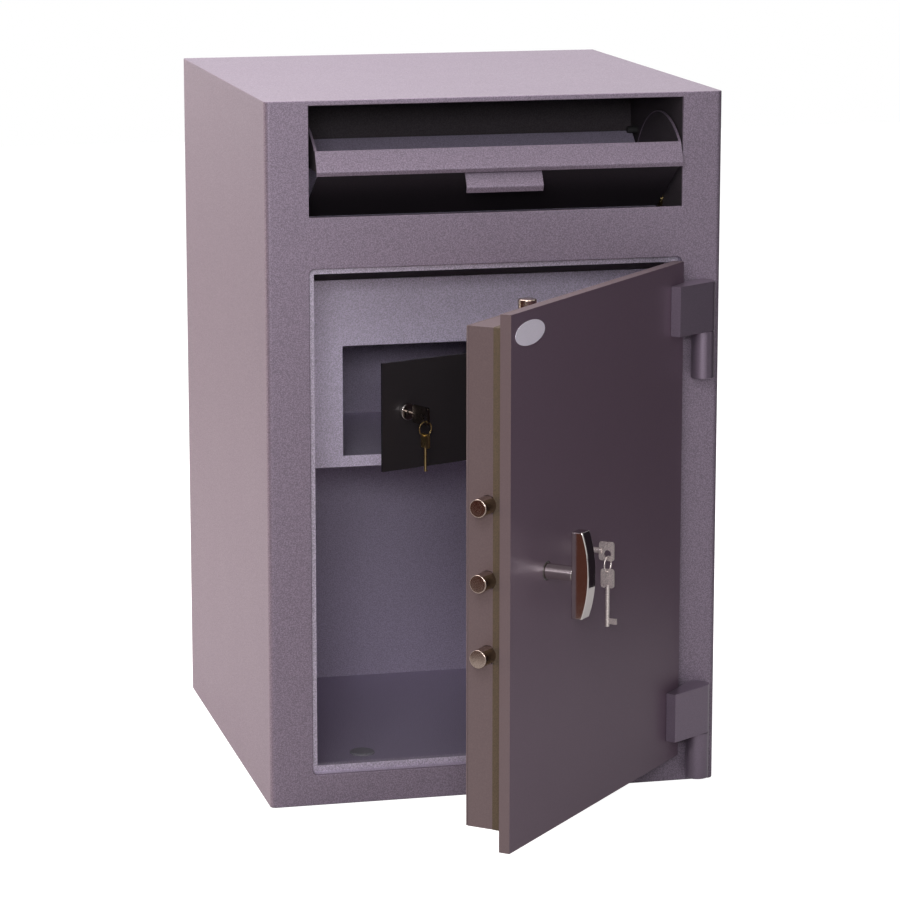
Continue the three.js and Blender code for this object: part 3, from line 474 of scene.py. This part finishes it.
def soften(bm, width, segments=FACETS, edges=None):
    """Breaks the given edges, or else every sharp one, to a small round."""
    chosen = sharp_edges(bm) if edges is None else edges
    bmesh.ops.bevel(
        bm, geom=chosen, offset=width, segments=segments, profile=0.5, affect="EDGES", clamp_overlap=True
    )


def node_mesh(node, turn=STILL):
    """The node's solid, drawn shut, with its flat faces made whole again."""
    bm = bmesh.new()
    bm.from_mesh(frame["nodes"][node].data)
    bmesh.ops.transform(bm, matrix=turn.inverted(), verts=bm.verts)
    bmesh.ops.remove_doubles(bm, verts=bm.verts, dist=NODE_WELD)
    bmesh.ops.dissolve_limit(bm, angle_limit=FLAT_ANGLE, verts=bm.verts, edges=bm.edges)
    return bm


def softened(name, node, body, slot, width=SHEET_BREAK, turn=STILL, segments=FACETS, look=None):
    """A piece in the node's own shape, with its edges broken."""
    bm = node_mesh(node, turn)
    soften(bm, width, segments)
    finish(name, bm, body, slot, turn, [node], look=look)


def arc(cx, cy, radius, start, end, steps=ARC_STEPS):
    """Points on an arc, angles in degrees."""
    turns = [math.radians(start + (end - start) * i / steps) for i in range(steps + 1)]
    return [(cx + radius * math.cos(a), cy + radius * math.sin(a)) for a in turns]


def rounded(u0, u1, v0, v1, radius, steps=ARC_STEPS):
    """A rectangle's outline with rounded corners."""
    return (
        arc(u1 - radius, v0 + radius, radius, -90, 0, steps)
        + arc(u1 - radius, v1 - radius, radius, 0, 90, steps)
        + arc(u0 + radius, v1 - radius, radius, 90, 180, steps)
        + arc(u0 + radius, v0 + radius, radius, 180, 270, steps)
    )


AXES = {
    "x": lambda u, v, w: Vector((w, u, v)),
    "y": lambda u, v, w: Vector((u, w, v)),
    "z": lambda u, v, w: Vector((u, v, w)),
}


def prism(axis, outline, low, high, edge=0.0, segments=FACETS):
    """An outline extruded along an axis, with its two end rims broken."""
    bm = bmesh.new()
    at = AXES[axis]
    rings = [[bm.verts.new(at(u, v, w)) for u, v in outline] for w in (low, high)]
    count = len(outline)
    bm.faces.new(rings[0])
    bm.faces.new(rings[1][::-1])
    for i in range(count):
        j = (i + 1) % count
        bm.faces.new((rings[0][i], rings[1][i], rings[1][j], rings[0][j]))
    bmesh.ops.recalc_face_normals(bm, faces=bm.faces)
    if edge:
        rims = [e for ring in rings for e in bm.edges if e.verts[0] in ring and e.verts[1] in ring]
        soften(bm, edge, segments, rims)
    return bm


def turned(axis, centre, profile, sides=ROUND):
    """A profile of (distance along the axis, radius) turned round it. A zero radius closes an end."""
    bm = bmesh.new()
    at = AXES[axis]
    rings = []
    for along, radius in profile:
        if radius == 0:
            rings.append([bm.verts.new(at(centre[0], centre[1], along))])
            continue
        ring = []
        for i in range(sides):
            angle = 2 * math.pi * i / sides
            u = centre[0] + radius * math.cos(angle)
            v = centre[1] + radius * math.sin(angle)
            ring.append(bm.verts.new(at(u, v, along)))
        rings.append(ring)
    for a, b in zip(rings, rings[1:]):
        for i in range(sides):
            j = (i + 1) % sides
            corners = [a[i % len(a)], b[i % len(b)], b[j % len(b)], a[j % len(a)]]
            bm.faces.new(list(dict.fromkeys(corners)))
    return bm


def rod_profile(low, high, radius, chamfer):
    """A plain rod's profile with its ends rounded over."""
    quarter = [math.radians(90 * i / END_STEPS) for i in range(END_STEPS + 1)]
    insets = [(chamfer * (1 - math.sin(a)), radius - chamfer * (1 - math.cos(a))) for a in quarter]
    start = [(low + inset, at) for inset, at in reversed(insets)]
    end = [(high - inset, at) for inset, at in insets]
    return [(low, 0), *start, *end, (high, 0)]


def boxed(low, high):
    bm = bmesh.new()
    matrix = Matrix.Translation((low + high) / 2) @ Matrix.Diagonal((*(high - low), 1))
    bmesh.ops.create_cube(bm, size=1, matrix=matrix)
    return bm


def carved(bm, *tools):
    """The solid with the tools cut out of it."""
    def holder(source):
        mesh = bpy.data.meshes.new("carving")
        bmesh.ops.recalc_face_normals(source, faces=source.faces)
        source.to_mesh(mesh)
        source.free()
        item = bpy.data.objects.new("carving", mesh)
        bpy.context.scene.collection.objects.link(item)
        return item

    target = holder(bm)
    cutters = [holder(tool) for tool in tools]
    for cutter in cutters:
        step = target.modifiers.new("cut", "BOOLEAN")
        step.object = cutter
        step.operation = "DIFFERENCE"
        step.solver = "EXACT"
    evaluated = target.evaluated_get(bpy.context.evaluated_depsgraph_get())
    mesh = bpy.data.meshes.new_from_object(evaluated)
    result = bmesh.new()
    result.from_mesh(mesh)
    for item in [target, *cutters]:
        bpy.data.objects.remove(item)
    bmesh.ops.remove_doubles(result, verts=result.verts, dist=CUT_WELD)
    bmesh.ops.dissolve_limit(result, angle_limit=FLAT_ANGLE, verts=result.verts, edges=result.edges)
    return result


# Body

def body_shell():
    """Front, sides, top, base and back as one folded shell, with its openings and anchor holes cut out."""
    low, high = span("front_frame")
    back = span("back_plate")[1].y
    opening_low, opening_high = span("door_rebate")
    left = opening_low.x + JAMB
    right = opening_high.x - JAMB
    outline = (
        arc(high.x - EDGE_RADIUS, low.y + EDGE_RADIUS, EDGE_RADIUS, -90, 0)
        + arc(high.x - REAR_RADIUS, back - REAR_RADIUS, REAR_RADIUS, 0, 90, REAR_STEPS)
        + arc(low.x + REAR_RADIUS, back - REAR_RADIUS, REAR_RADIUS, 90, 180, REAR_STEPS)
        + arc(low.x + EDGE_RADIUS, low.y + EDGE_RADIUS, EDGE_RADIUS, 180, 270)
    )
    outer = prism("z", outline, low.z, high.z, EDGE_BREAK, FINE_FACETS)
    wall = Vector((WALL, WALL, WALL))
    hollow = boxed(low + wall, Vector((high.x, back, high.z)) - wall)
    aperture_top = high.z - APERTURE_TOP_STRIP
    aperture = boxed(
        Vector((left, low.y - OVERRUN, aperture_top - APERTURE_HEIGHT)),
        Vector((right, low.y + WALL + OVERRUN, aperture_top)),
    )
    door_outline = rounded(left, right, opening_low.z + JAMB, opening_high.z - JAMB, OPENING_CORNER)
    doorway = prism("y", door_outline, low.y - OVERRUN, low.y + WALL + OVERRUN)
    hole_profile = rod_profile(-OVERRUN, WALL + OVERRUN, ANCHOR_HOLE, HOLE_BREAK)
    holes = []
    for cap in ANCHOR_CAPS:
        cap_low, cap_high = span(cap)
        middle = (cap_low + cap_high) / 2
        holes.append(turned("z", (middle.x, middle.y), hole_profile))
    shell = carved(outer, hollow, aperture, doorway, *holes)
    rims = [
        e for e in sharp_edges(shell, RIM_ANGLE)
        if all(abs(v.co.y - low.y) < ON_THE_FRONT for v in e.verts)
    ]
    soften(shell, RIM_BREAK, FINE_FACETS, rims)
    replaced = ["front_frame", "left_side", "right_side", "top_plate", "back_plate", "base_plate"]
    finish("body_shell", shell, "root", "body_paint", replaces=replaced)


def inside_coat():
    """Lighter paint, partly painted light, on the safe's floor, sides and back below the deposit chamber."""
    low, high = span("front_frame")
    room_low = low + Vector((WALL, WALL, WALL))
    room_high = Vector((high.x - WALL, span("back_plate")[0].y, span("deposit_floor")[0].z))
    cut_low = Vector((room_low.x + COAT, low.y, room_low.z + COAT))
    cut_high = Vector((room_high.x - COAT, room_high.y - COAT, high.z))
    coat = carved(boxed(room_low, room_high), boxed(cut_low, cut_high))
    finish("inside_coat", coat, "root", "coffer_paint", look="inside_paint")


def anchor_caps():
    """A moulded cap in each anchor hole: a plug, a rim over the floor and a slightly dished top."""
    for cap in ANCHOR_CAPS:
        low, high = span(cap)
        middle = (low + high) / 2
        radius = (high.x - low.x) / 2
        plug = ANCHOR_HOLE - PLUG_SLACK
        profile = [(low.z, 0), (low.z, plug), (WALL + CAP_LIFT, plug)]
        profile += [(WALL + CAP_LIFT, radius - CAP_RIM_BREAK), (WALL + CAP_RIM, radius)]
        profile += [(high.z - drop, radius - inset) for drop, inset in CAP_SECTION]
        profile += [(high.z - CAP_SECTION[-1][0], 0)]
        moulding = turned("z", (middle.x, middle.y), profile)
        finish(f"{cap}_moulding", moulding, "root", "rubber", replaces=[cap], look="cap_grey")


def body_sheets():
    # The rebate, in the body paint, takes a lighter look, a painted highlight.
    softened(
        "rebate_frame", "door_rebate", "root", "body_paint", REBATE_BREAK,
        segments=FINE_FACETS, look="rebate_paint",
    )
    # The deposit chamber's sheets take the near-black chamber paint, a painted shade.
    for node in ("deposit_floor", "deposit_back", "left_cheek", "right_cheek", "drop_chute"):
        softened(f"{node}_sheet", node, "root", "chamber_paint")
    # The coffer's sheets take the light lilac coffer paint, partly painted light.
    for node in ("coffer_front", "coffer_floor"):
        softened(f"{node}_sheet", node, "root", "coffer_paint")
    for node in ("coffer_hinge_lower", "coffer_hinge_upper"):
        softened(f"{node}_barrel", node, "root", "steel", COFFER_HINGE_BREAK)
    for side in ("left", "right"):
        softened(f"hopper_bush_{side}_ring", f"hopper_bush_{side}", "root", "brass", BUSH_BREAK)
        softened(f"hopper_stop_{side}_buffer", f"hopper_stop_{side}", "root", "rubber", BUFFER_BREAK)


# Main hinges

def hinge_barrel(level):
    """A round barrel on a narrower foot that reaches back to the body. Gives the barrel's radius."""
    axis = joint("main_door")["pos_m"]
    node = f"{level}_hinge_barrel"
    low, high = span(node)
    radius = (high.x - low.x) / 2
    start = math.degrees(math.asin(HINGE_FOOT / radius))
    outline = arc(axis[0], axis[1], radius, 90 + start, 450 - start, BARREL_STEPS)
    outline += [(axis[0] + HINGE_FOOT, high.y), (axis[0] - HINGE_FOOT, high.y)]
    barrel = prism("z", outline, low.z, high.z, HINGE_BREAK, FINE_FACETS)
    finish(f"{node}_turned", barrel, "root", "body_paint", replaces=[node], look="hinge_paint")
    return radius


def hinge_leaf(level, radius):
    """A leaf flat on the door's face, with a straight slope from its thin tip to its knuckle."""
    axis = joint("main_door")["pos_m"]
    node = f"{level}_hinge_leaf"
    low, high = span(node, MAIN_DOOR)
    tip_y = high.y - LEAF_END
    reach = axis[0] - low.x
    drop = axis[1] - tip_y
    heading = math.degrees(math.atan2(drop, reach) - math.asin(radius / math.hypot(reach, drop)))
    outline = [(low.x, high.y), (low.x, tip_y)]
    outline += arc(axis[0], axis[1], radius, heading - 90, 90, KNUCKLE_STEPS)
    outline += [(axis[0], high.y)]
    leaf = prism("z", outline, low.z, high.z)
    soften(leaf, LEAF_BREAK, FINE_FACETS)
    finish(f"{node}_forged", leaf, "main_door", "body_paint", MAIN_DOOR, [node], look="hinge_paint")


def hinge_work():
    for level in ("upper", "lower"):
        hinge_leaf(level, hinge_barrel(level))


# Deposit drawer

def bent(line, thickness, low, high, radius=BEND_RADIUS, edge=SHEET_BREAK):
    """A sheet bent along a line in y and z, with rounded bends."""
    points = [Vector(p) for p in line]
    path = [points[0]]
    for before, corner, after in zip(points, points[1:], points[2:]):
        into = (corner - before).normalized()
        out = (after - corner).normalized()
        turn = math.acos(max(-1.0, min(1.0, into.dot(out))))
        reach = (radius + thickness / 2) * math.tan(turn / 2)
        start = corner - into * reach
        end = corner + out * reach
        for i in range(BEND_STEPS + 1):
            t = i / BEND_STEPS
            path.append(start * (1 - t) ** 2 + corner * (2 * t * (1 - t)) + end * t ** 2)
    path.append(points[-1])
    sides = ([], [])
    for i, point in enumerate(path):
        along = (path[min(i + 1, len(path) - 1)] - path[max(i - 1, 0)]).normalized()
        normal = Vector((-along.y, along.x)) * thickness / 2
        sides[0].append(tuple(point + normal))
        sides[1].append(tuple(point - normal))
    bm = prism("x", sides[0] + sides[1][::-1], low, high)
    soften(bm, edge)
    return bm


def drawer():
    """The drawer tipped open: its front plate, scoop and lip of bent sheet, then its ends and its grip."""
    pivot = Vector(joint("hopper")["pos_m"])
    low, high = span("hopper_scoop")
    front_low, front_high = span("front_frame")
    aperture_bottom = front_high.z - APERTURE_TOP_STRIP - APERTURE_HEIGHT
    bend = Vector((front_low.y - BEND_FORWARD, aperture_bottom + BEND_RISE))
    lip_top = bend + LIP_TOP
    plate_angle = math.atan2(bend.y - pivot.z, bend.x - pivot.y)
    half_trough = (plate_angle - BACK_SLOPE) / 2
    crotch = PIVOT_TO_SHEET / math.sin(half_trough)
    middle = (plate_angle + BACK_SLOPE) / 2
    trough = Vector((pivot.y - crotch * math.cos(middle), pivot.z - crotch * math.sin(middle)))
    rear = trough + BACK_LENGTH * Vector((math.cos(BACK_SLOPE), math.sin(BACK_SLOPE)))
    along = (trough - bend).normalized()
    plate_foot = trough - along * PLATE_FOOT
    between = (low.x + INSIDE_ENDS, high.x - INSIDE_ENDS)
    replaced = ["hopper_scoop"]
    plate = bent([bend + along * PLATE_TOP_GAP, plate_foot], SHEET, *between)
    # The front plate under the lip is drawn near black, a painted shade.
    finish("drawer_front_plate", plate, "hopper", "chamber_paint", replaces=replaced, look="drawer_underside")
    # The scoop, in the body paint, is drawn lighter: painted light where light falls behind the lip.
    scoop = bent([plate_foot, trough, rear], SHEET, *between)
    finish("drawer_scoop", scoop, "hopper", "body_paint", replaces=replaced, look="inside_paint")
    lip = bent([lip_top, bend, bend + LIP_HEM], SHEET, low.x, high.x, LIP_BEND)
    finish("drawer_lip", lip, "hopper", "body_paint", replaces=replaced)
    drawer_ends(Vector((pivot.y - RIM_FORWARD, pivot.z - RIM_DROP)), rear, lip_top + RIM_TOP)
    drawer_grip(bend, along)


def drawer_ends(centre, rear, top):
    """The two end plates, each with a thin rim along its round edge, from the scoop's rear to the lip."""
    reach = (top - centre).length
    start, end = (math.degrees(math.atan2(p.y - centre.y, p.x - centre.x)) for p in (rear, top))
    for side in ("left", "right"):
        node = f"hopper_{side}_end"
        # The end plates take the near-black chamber paint, a painted shade; only their thin rims show the
        # body paint.
        softened(f"drawer_{side}_end", node, "hopper", "chamber_paint")
        low, high = span(node)
        outer = arc(*centre, reach + RIM_OUTSIDE, start, end, RIM_STEPS)
        inner = arc(*centre, reach - RIM_INSIDE, end, start, RIM_STEPS)
        rim = prism("x", outer + inner, low.x - RIM_OVERLAP, high.x + RIM_OVERLAP)
        finish(f"drawer_{side}_rim", rim, "hopper", "body_paint")


def drawer_grip(bend, along):
    """The bent grip that stands out of the front plate under the lip."""
    low, high = span("hopper_grip")
    out = Vector((along.y, -along.x))
    root = bend + along * GRIP_DOWN + out * GRIP_ROOT
    tip = root + out * GRIP_REACH
    grip = bent([root, tip, tip + GRIP_HEM], GRIP_SHEET, low.x, high.x, GRIP_BEND, GRIP_BREAK)
    finish("drawer_grip", grip, "hopper", "body_paint", replaces=["hopper_grip"])


# Main door

def door_shell():
    softened("door_slab", "door_plate", "main_door", "door_paint", SLAB_BREAK, MAIN_DOOR, FINE_FACETS)
    softened("door_pan_sheet", "door_pan", "main_door", "pan_paint", SHEET_BREAK, MAIN_DOOR)
    softened("door_cover_sheet", "door_back_cover", "main_door", "pan_paint", COVER_BREAK, MAIN_DOOR)
    softened("dog_bar_solid", "dog_bar", "main_door", "pan_paint", DOG_BAR_BREAK, MAIN_DOOR)
    softened("handle_bush_ring", "handle_bush", "main_door", "steel", HANDLE_BUSH_BREAK, MAIN_DOOR)


def door_badge():
    """A bare oval plate."""
    low, high = span("door_badge", MAIN_DOOR)
    middle = (low + high) / 2
    half = (high - low) / 2
    turns = [2 * math.pi * i / BADGE_STEPS for i in range(BADGE_STEPS)]
    outline = [(middle.x + half.x * math.cos(a), middle.z + half.z * math.sin(a)) for a in turns]
    badge = prism("y", outline, low.y, high.y, BADGE_BREAK)
    finish("badge_plate", badge, "main_door", "badge", MAIN_DOOR, ["door_badge"])


def door_painted_shade():
    """A dark strip round the pan's foot, wide enough to show past the door plate's edge: a painted shade."""
    low, high = span("door_pan", MAIN_DOOR)
    start = span("door_plate", MAIN_DOOR)[1].y + SHADE_STRIP_LIFT
    end = start + SHADE_STRIP_WIDTH

    def outline(past, corner):
        return rounded(low.x - past, high.x + past, low.z - past, high.z + past, corner, SHADE_STRIP_CORNER_STEPS)

    strip = carved(
        prism("y", outline(SHADE_STRIP_PROUD, SHADE_STRIP_OUTER_CORNER), start, end),
        prism("y", outline(-SHADE_STRIP_SUNK, SHADE_STRIP_INNER_CORNER), start - OVERRUN, end + OVERRUN),
    )
    soften(strip, SHADE_STRIP_BREAK)
    finish("door_seal_strip", strip, "main_door", "pan_paint", MAIN_DOOR, look="seal")


def cover_screws():
    """Pan-head screws round the back cover, each with a cross slot."""
    low, high = span("door_back_cover", MAIN_DOOR)
    face = high.y
    height = high.z - low.z - 2 * SCREW_INSET
    rows = [low.z + SCREW_INSET + height * i / (SCREW_ROWS - 1) for i in range(SCREW_ROWS)]
    places = [(x, z) for x in (low.x + SCREW_INSET, high.x - SCREW_INSET) for z in rows]
    middle = (low.x + high.x) / 2
    places += [(middle, rows[0]), (middle, rows[-1])]
    profile = [(face - SCREW_SINK, 0), (face - SCREW_SINK, SCREW_HEAD)]
    profile += [(face + rise, SCREW_HEAD * share) for rise, share in SCREW_SECTION]
    profile += [(face + SCREW_RISE, 0)]
    for number, (x, z) in enumerate(places, 1):
        head = turned("y", (x, z), profile, SMALL_ROUND)
        slots = [
            boxed(
                Vector((x - wide, face + SLOT_FLOOR, z - tall)),
                Vector((x + wide, face + SLOT_TOP, z + tall)),
            )
            for wide, tall in ((SLOT_REACH, SLOT_HALF), (SLOT_HALF, SLOT_REACH))
        ]
        finish(f"cover_screw_{number}", carved(head, *slots), "main_door", "steel", MAIN_DOOR)


def handle_knob():
    """A cast T handle: flat ends, rounded corners and a bulging front."""
    low, high = span("handle_knob", MAIN_DOOR)
    middle = (high.z + low.z) / 2
    half = (high.z - low.z) / 2 - KNOB_CORNER
    end_face = high.y - KNOB_END
    bulge = end_face - low.y
    outline = [(high.y, high.z)]
    outline += arc(end_face + KNOB_CORNER, high.z - KNOB_CORNER, KNOB_CORNER, 90, 180, KNOB_CORNER_STEPS)
    for i in range(1, KNOB_STEPS):
        along = -1 + 2 * i / KNOB_STEPS
        outline.append((end_face - bulge * (1 - abs(along) ** KNOB_FULLNESS), middle - along * half))
    outline += arc(end_face + KNOB_CORNER, low.z + KNOB_CORNER, KNOB_CORNER, 180, 270, KNOB_CORNER_STEPS)
    outline += [(high.y, low.z)]
    knob = prism("x", outline, low.x, high.x)
    soften(knob, KNOB_BREAK, KNOB_FACETS, sharp_edges(knob, KNOB_ANGLE))
    finish("handle_knob_cast", knob, "handle", "chrome", MAIN_DOOR, ["handle_knob"], KNOB_ANGLE)


def rod(node, axis, body, slot, edge, look=None):
    """A round bar of the main door. Its radius is measured upright, or along x for a bar that stands."""
    low, high = span(node, MAIN_DOOR)
    middle = (low + high) / 2
    along = "xyz".index(axis)
    measured = 0 if axis == "z" else 2
    radius = (high[measured] - low[measured]) / 2
    centre = [middle[i] for i in range(3) if i != along]
    bar = turned(axis, centre, rod_profile(low[along], high[along], radius, edge))
    finish(f"{node}_turned", bar, body, slot, MAIN_DOOR, [node], look=look)


def handle_and_bolts():
    rod("handle_shaft", "y", "handle", "chrome", SHAFT_BREAK)
    handle_knob()
    for node in ("side_bolt_lower", "side_bolt_middle", "side_bolt_upper"):
        rod(node, "x", "side_bolts", "nickel", BOLT_BREAK, "bolt_nickel")
    for node in ("top_bolt", "bottom_bolt"):
        rod(node, "z", node, "nickel", BOLT_BREAK, "bolt_nickel")


def keys():
    # The main keys take a lighter, less metallic copy of the nickel, a painted light.
    softened("main_key_cut", "main_key", "main_key", "nickel", KEY_BREAK, MAIN_DOOR, look="key_nickel")
    softened(
        "main_key_spare", "main_key_ring", "main_key_ring", "nickel", SPARE_KEY_BREAK,
        MAIN_DOOR, look="key_nickel",
    )
    softened("coffer_key_cut", "coffer_key", "coffer_key", "nickel", KEY_BREAK, COFFER_DOOR, look="key_dark")
    softened("coffer_key_spare", "coffer_key_ring", "coffer_key_ring", "brass", SPARE_KEY_BREAK, COFFER_DOOR)


def coffer_door_work():
    body = "coffer_door"
    softened("coffer_door_leaf", "coffer_door", body, "coffer_door_paint", COFFER_DOOR_BREAK, COFFER_DOOR)
    softened("coffer_lock_barrel", "coffer_lock", body, "chrome", COFFER_LOCK_BREAK, COFFER_DOOR, FINE_FACETS)


# Stage

WHITE = (1, 1, 1, 1)
AMBIENT = 0.14
BACKGROUND = 1.0
FLOOR_HALF = 6.0
CARD_HALF = 0.5
FLOOR_DROP = 0.5 * MM
FLOOR_COLOR = (0.5, 0.5, 0.5, 1)
FLOOR_ROUGHNESS = 0.9
FLOOR_SHINE = 0.1
FLOOR_IN_MIRRORS = 0.15


def seen(graph, mirrored=1.0):
    """One on rays from the camera, and the given strength off a mirror or through glass."""
    path = graph.nodes.new("ShaderNodeLightPath")

    def math_node(operation):
        node = graph.nodes.new("ShaderNodeMath")
        node.operation = operation
        return node

    indirect = math_node("MAXIMUM")
    graph.links.new(path.outputs["Is Glossy Ray"], indirect.inputs[0])
    graph.links.new(path.outputs["Is Transmission Ray"], indirect.inputs[1])
    dimmed = math_node("MULTIPLY")
    dimmed.inputs[1].default_value = mirrored
    graph.links.new(indirect.outputs[0], dimmed.inputs[0])
    either = math_node("MAXIMUM")
    graph.links.new(dimmed.outputs[0], either.inputs[0])
    graph.links.new(path.outputs["Is Camera Ray"], either.inputs[1])
    return either.outputs[0]


def world():
    """White to the camera and in mirrors, and a dim light on everything else."""
    scene_world = bpy.data.worlds.new("studio")
    bpy.context.scene.world = scene_world
    scene_world.use_nodes = True
    graph = scene_world.node_tree
    background = graph.nodes["Background"]
    background.inputs["Color"].default_value = WHITE
    strength = graph.nodes.new("ShaderNodeMapRange")
    strength.inputs["To Min"].default_value = AMBIENT
    strength.inputs["To Max"].default_value = BACKGROUND
    graph.links.new(seen(graph), strength.inputs["Value"])
    graph.links.new(strength.outputs["Result"], background.inputs["Strength"])


def flat_square(name, half, place):
    """A flat square with a material of its own. Gives the square and the material's nodes."""
    bm = bmesh.new()
    bmesh.ops.create_grid(bm, x_segments=1, y_segments=1, size=half)
    mesh = bpy.data.meshes.new(name)
    bm.to_mesh(mesh)
    bm.free()
    square = bpy.data.objects.new(name, mesh)
    square.location = place
    bpy.context.scene.collection.objects.link(square)
    material = bpy.data.materials.new(name)
    material.use_nodes = True
    mesh.materials.append(material)
    return square, material.node_tree


def floor():
    """Matte and grey to the light, dim in mirrors and white to the camera, so that no shadow shows on it."""
    ground, graph = flat_square("floor", FLOOR_HALF, (0, 0, -FLOOR_DROP))
    shader = graph.nodes["Principled BSDF"]
    shader.inputs["Base Color"].default_value = FLOOR_COLOR
    shader.inputs["Roughness"].default_value = FLOOR_ROUGHNESS
    shader.inputs["Specular IOR Level"].default_value = FLOOR_SHINE
    shader.inputs["Emission Color"].default_value = WHITE
    graph.links.new(seen(graph, FLOOR_IN_MIRRORS), shader.inputs["Emission Strength"])


def aimed(place, aim):
    """The turn that points something at a place."""
    return (Vector(aim) - Vector(place)).to_track_quat("-Z", "Y").to_euler()


def softbox(name, place, width, height, power, color, mirrored):
    """A lamp. One that isn't mirrored lights the paint and leaves no streak on a rounded edge."""
    data = bpy.data.lights.new(name, "AREA")
    data.shape = "RECTANGLE"
    data.size = width
    data.size_y = height
    data.energy = power
    data.color = color
    lamp = bpy.data.objects.new(name, data)
    lamp.location = place
    lamp.visible_glossy = mirrored
    lamp.rotation_euler = aimed(place, LAMP_AIM)
    bpy.context.scene.collection.objects.link(lamp)


def card(name, place, aim, width, height, color):
    """A glowing board that only mirrors see, lighting nothing: a painted reflection in polished metal."""
    board, graph = flat_square(name, CARD_HALF, place)
    board.scale = (width, height, 1)
    board.rotation_euler = aimed(place, aim)
    board.visible_camera = False
    board.visible_diffuse = False
    board.visible_shadow = False
    board.visible_transmission = False
    graph.nodes.remove(graph.nodes["Principled BSDF"])
    glow = graph.nodes.new("ShaderNodeEmission")
    glow.inputs["Color"].default_value = (*color, 1)
    graph.links.new(glow.outputs["Emission"], graph.nodes["Material Output"].inputs["Surface"])


LAMP_AIM = (0.0, 0.0, 0.4)

# Lamps by name: place, width, height, watts, colour, and whether polished metal mirrors it
LAMPS = {
    "overhead": ((-0.4, 0.5, 2.6), 2.2, 2.2, 68, (1.0, 0.93, 0.96), True),
    "left_side": ((-2.9, 0.8, 0.42), 1.6, 0.7, 86, (1.0, 0.87, 0.70), False),
    "left_front": ((-0.8, -2.0, 1.6), 0.8, 0.8, 13, (0.97, 0.96, 1.0), True),
    "front": ((-0.95, -3.7, 1.35), 0.8, 0.4, 34, (0.96, 0.96, 1.0), True),
}

# Cards by name: place, aim, width, height, glow. Each is a painted reflection.
CARDS = {
    "brown_wall": ((-1.0, -0.75, 0.55), (0.0, -0.4, 0.55), 1.4, 1.3, (0.100, 0.038, 0.028)),
    "front_right_glow": ((0.67, -2.97, 1.82), (0.0, -0.27, 0.7), 1.2, 0.5, (5.0, 4.9, 5.2)),
    "right_wall": ((1.05, -1.25, 1.0), (0.1, -0.256, 0.9), 1.0, 2.6, (0.03, 0.025, 0.03)),
    "dark_wall": ((0.92, -0.16, 0.55), (0.0, -0.5, 0.55), 0.9, 1.2, (0.02, 0.015, 0.02)),
}


def lights():
    for name, values in LAMPS.items():
        softbox(name, *values)
    for name, values in CARDS.items():
        card(name, *values)


CAMERA_SENSOR = 36
CAMERA_LENS = 144.16
CAMERA_PLACE = (-0.9373, -3.9418, 1.1525)
CAMERA_TILT = 0.1994
CAMERA_TURN = 0.236


def camera():
    """Stands where the photograph was taken from, above the top of the safe and to its left."""
    data = bpy.data.cameras.new("camera")
    data.sensor_width = CAMERA_SENSOR
    data.lens = CAMERA_LENS
    eye = bpy.data.objects.new("camera", data)
    eye.location = CAMERA_PLACE
    eye.rotation_euler = (math.pi / 2 - CAMERA_TILT, 0, -CAMERA_TURN)
    bpy.context.scene.collection.objects.link(eye)
    bpy.context.scene.camera = eye


camera()
dress_nodes()
body_shell()
inside_coat()
anchor_caps()
body_sheets()
hinge_work()
drawer()
door_shell()
door_badge()
door_painted_shade()
cover_screws()
handle_and_bolts()
keys()
coffer_door_work()
world()
floor()
lights()
bpy.context.scene.view_settings.view_transform = "Standard"
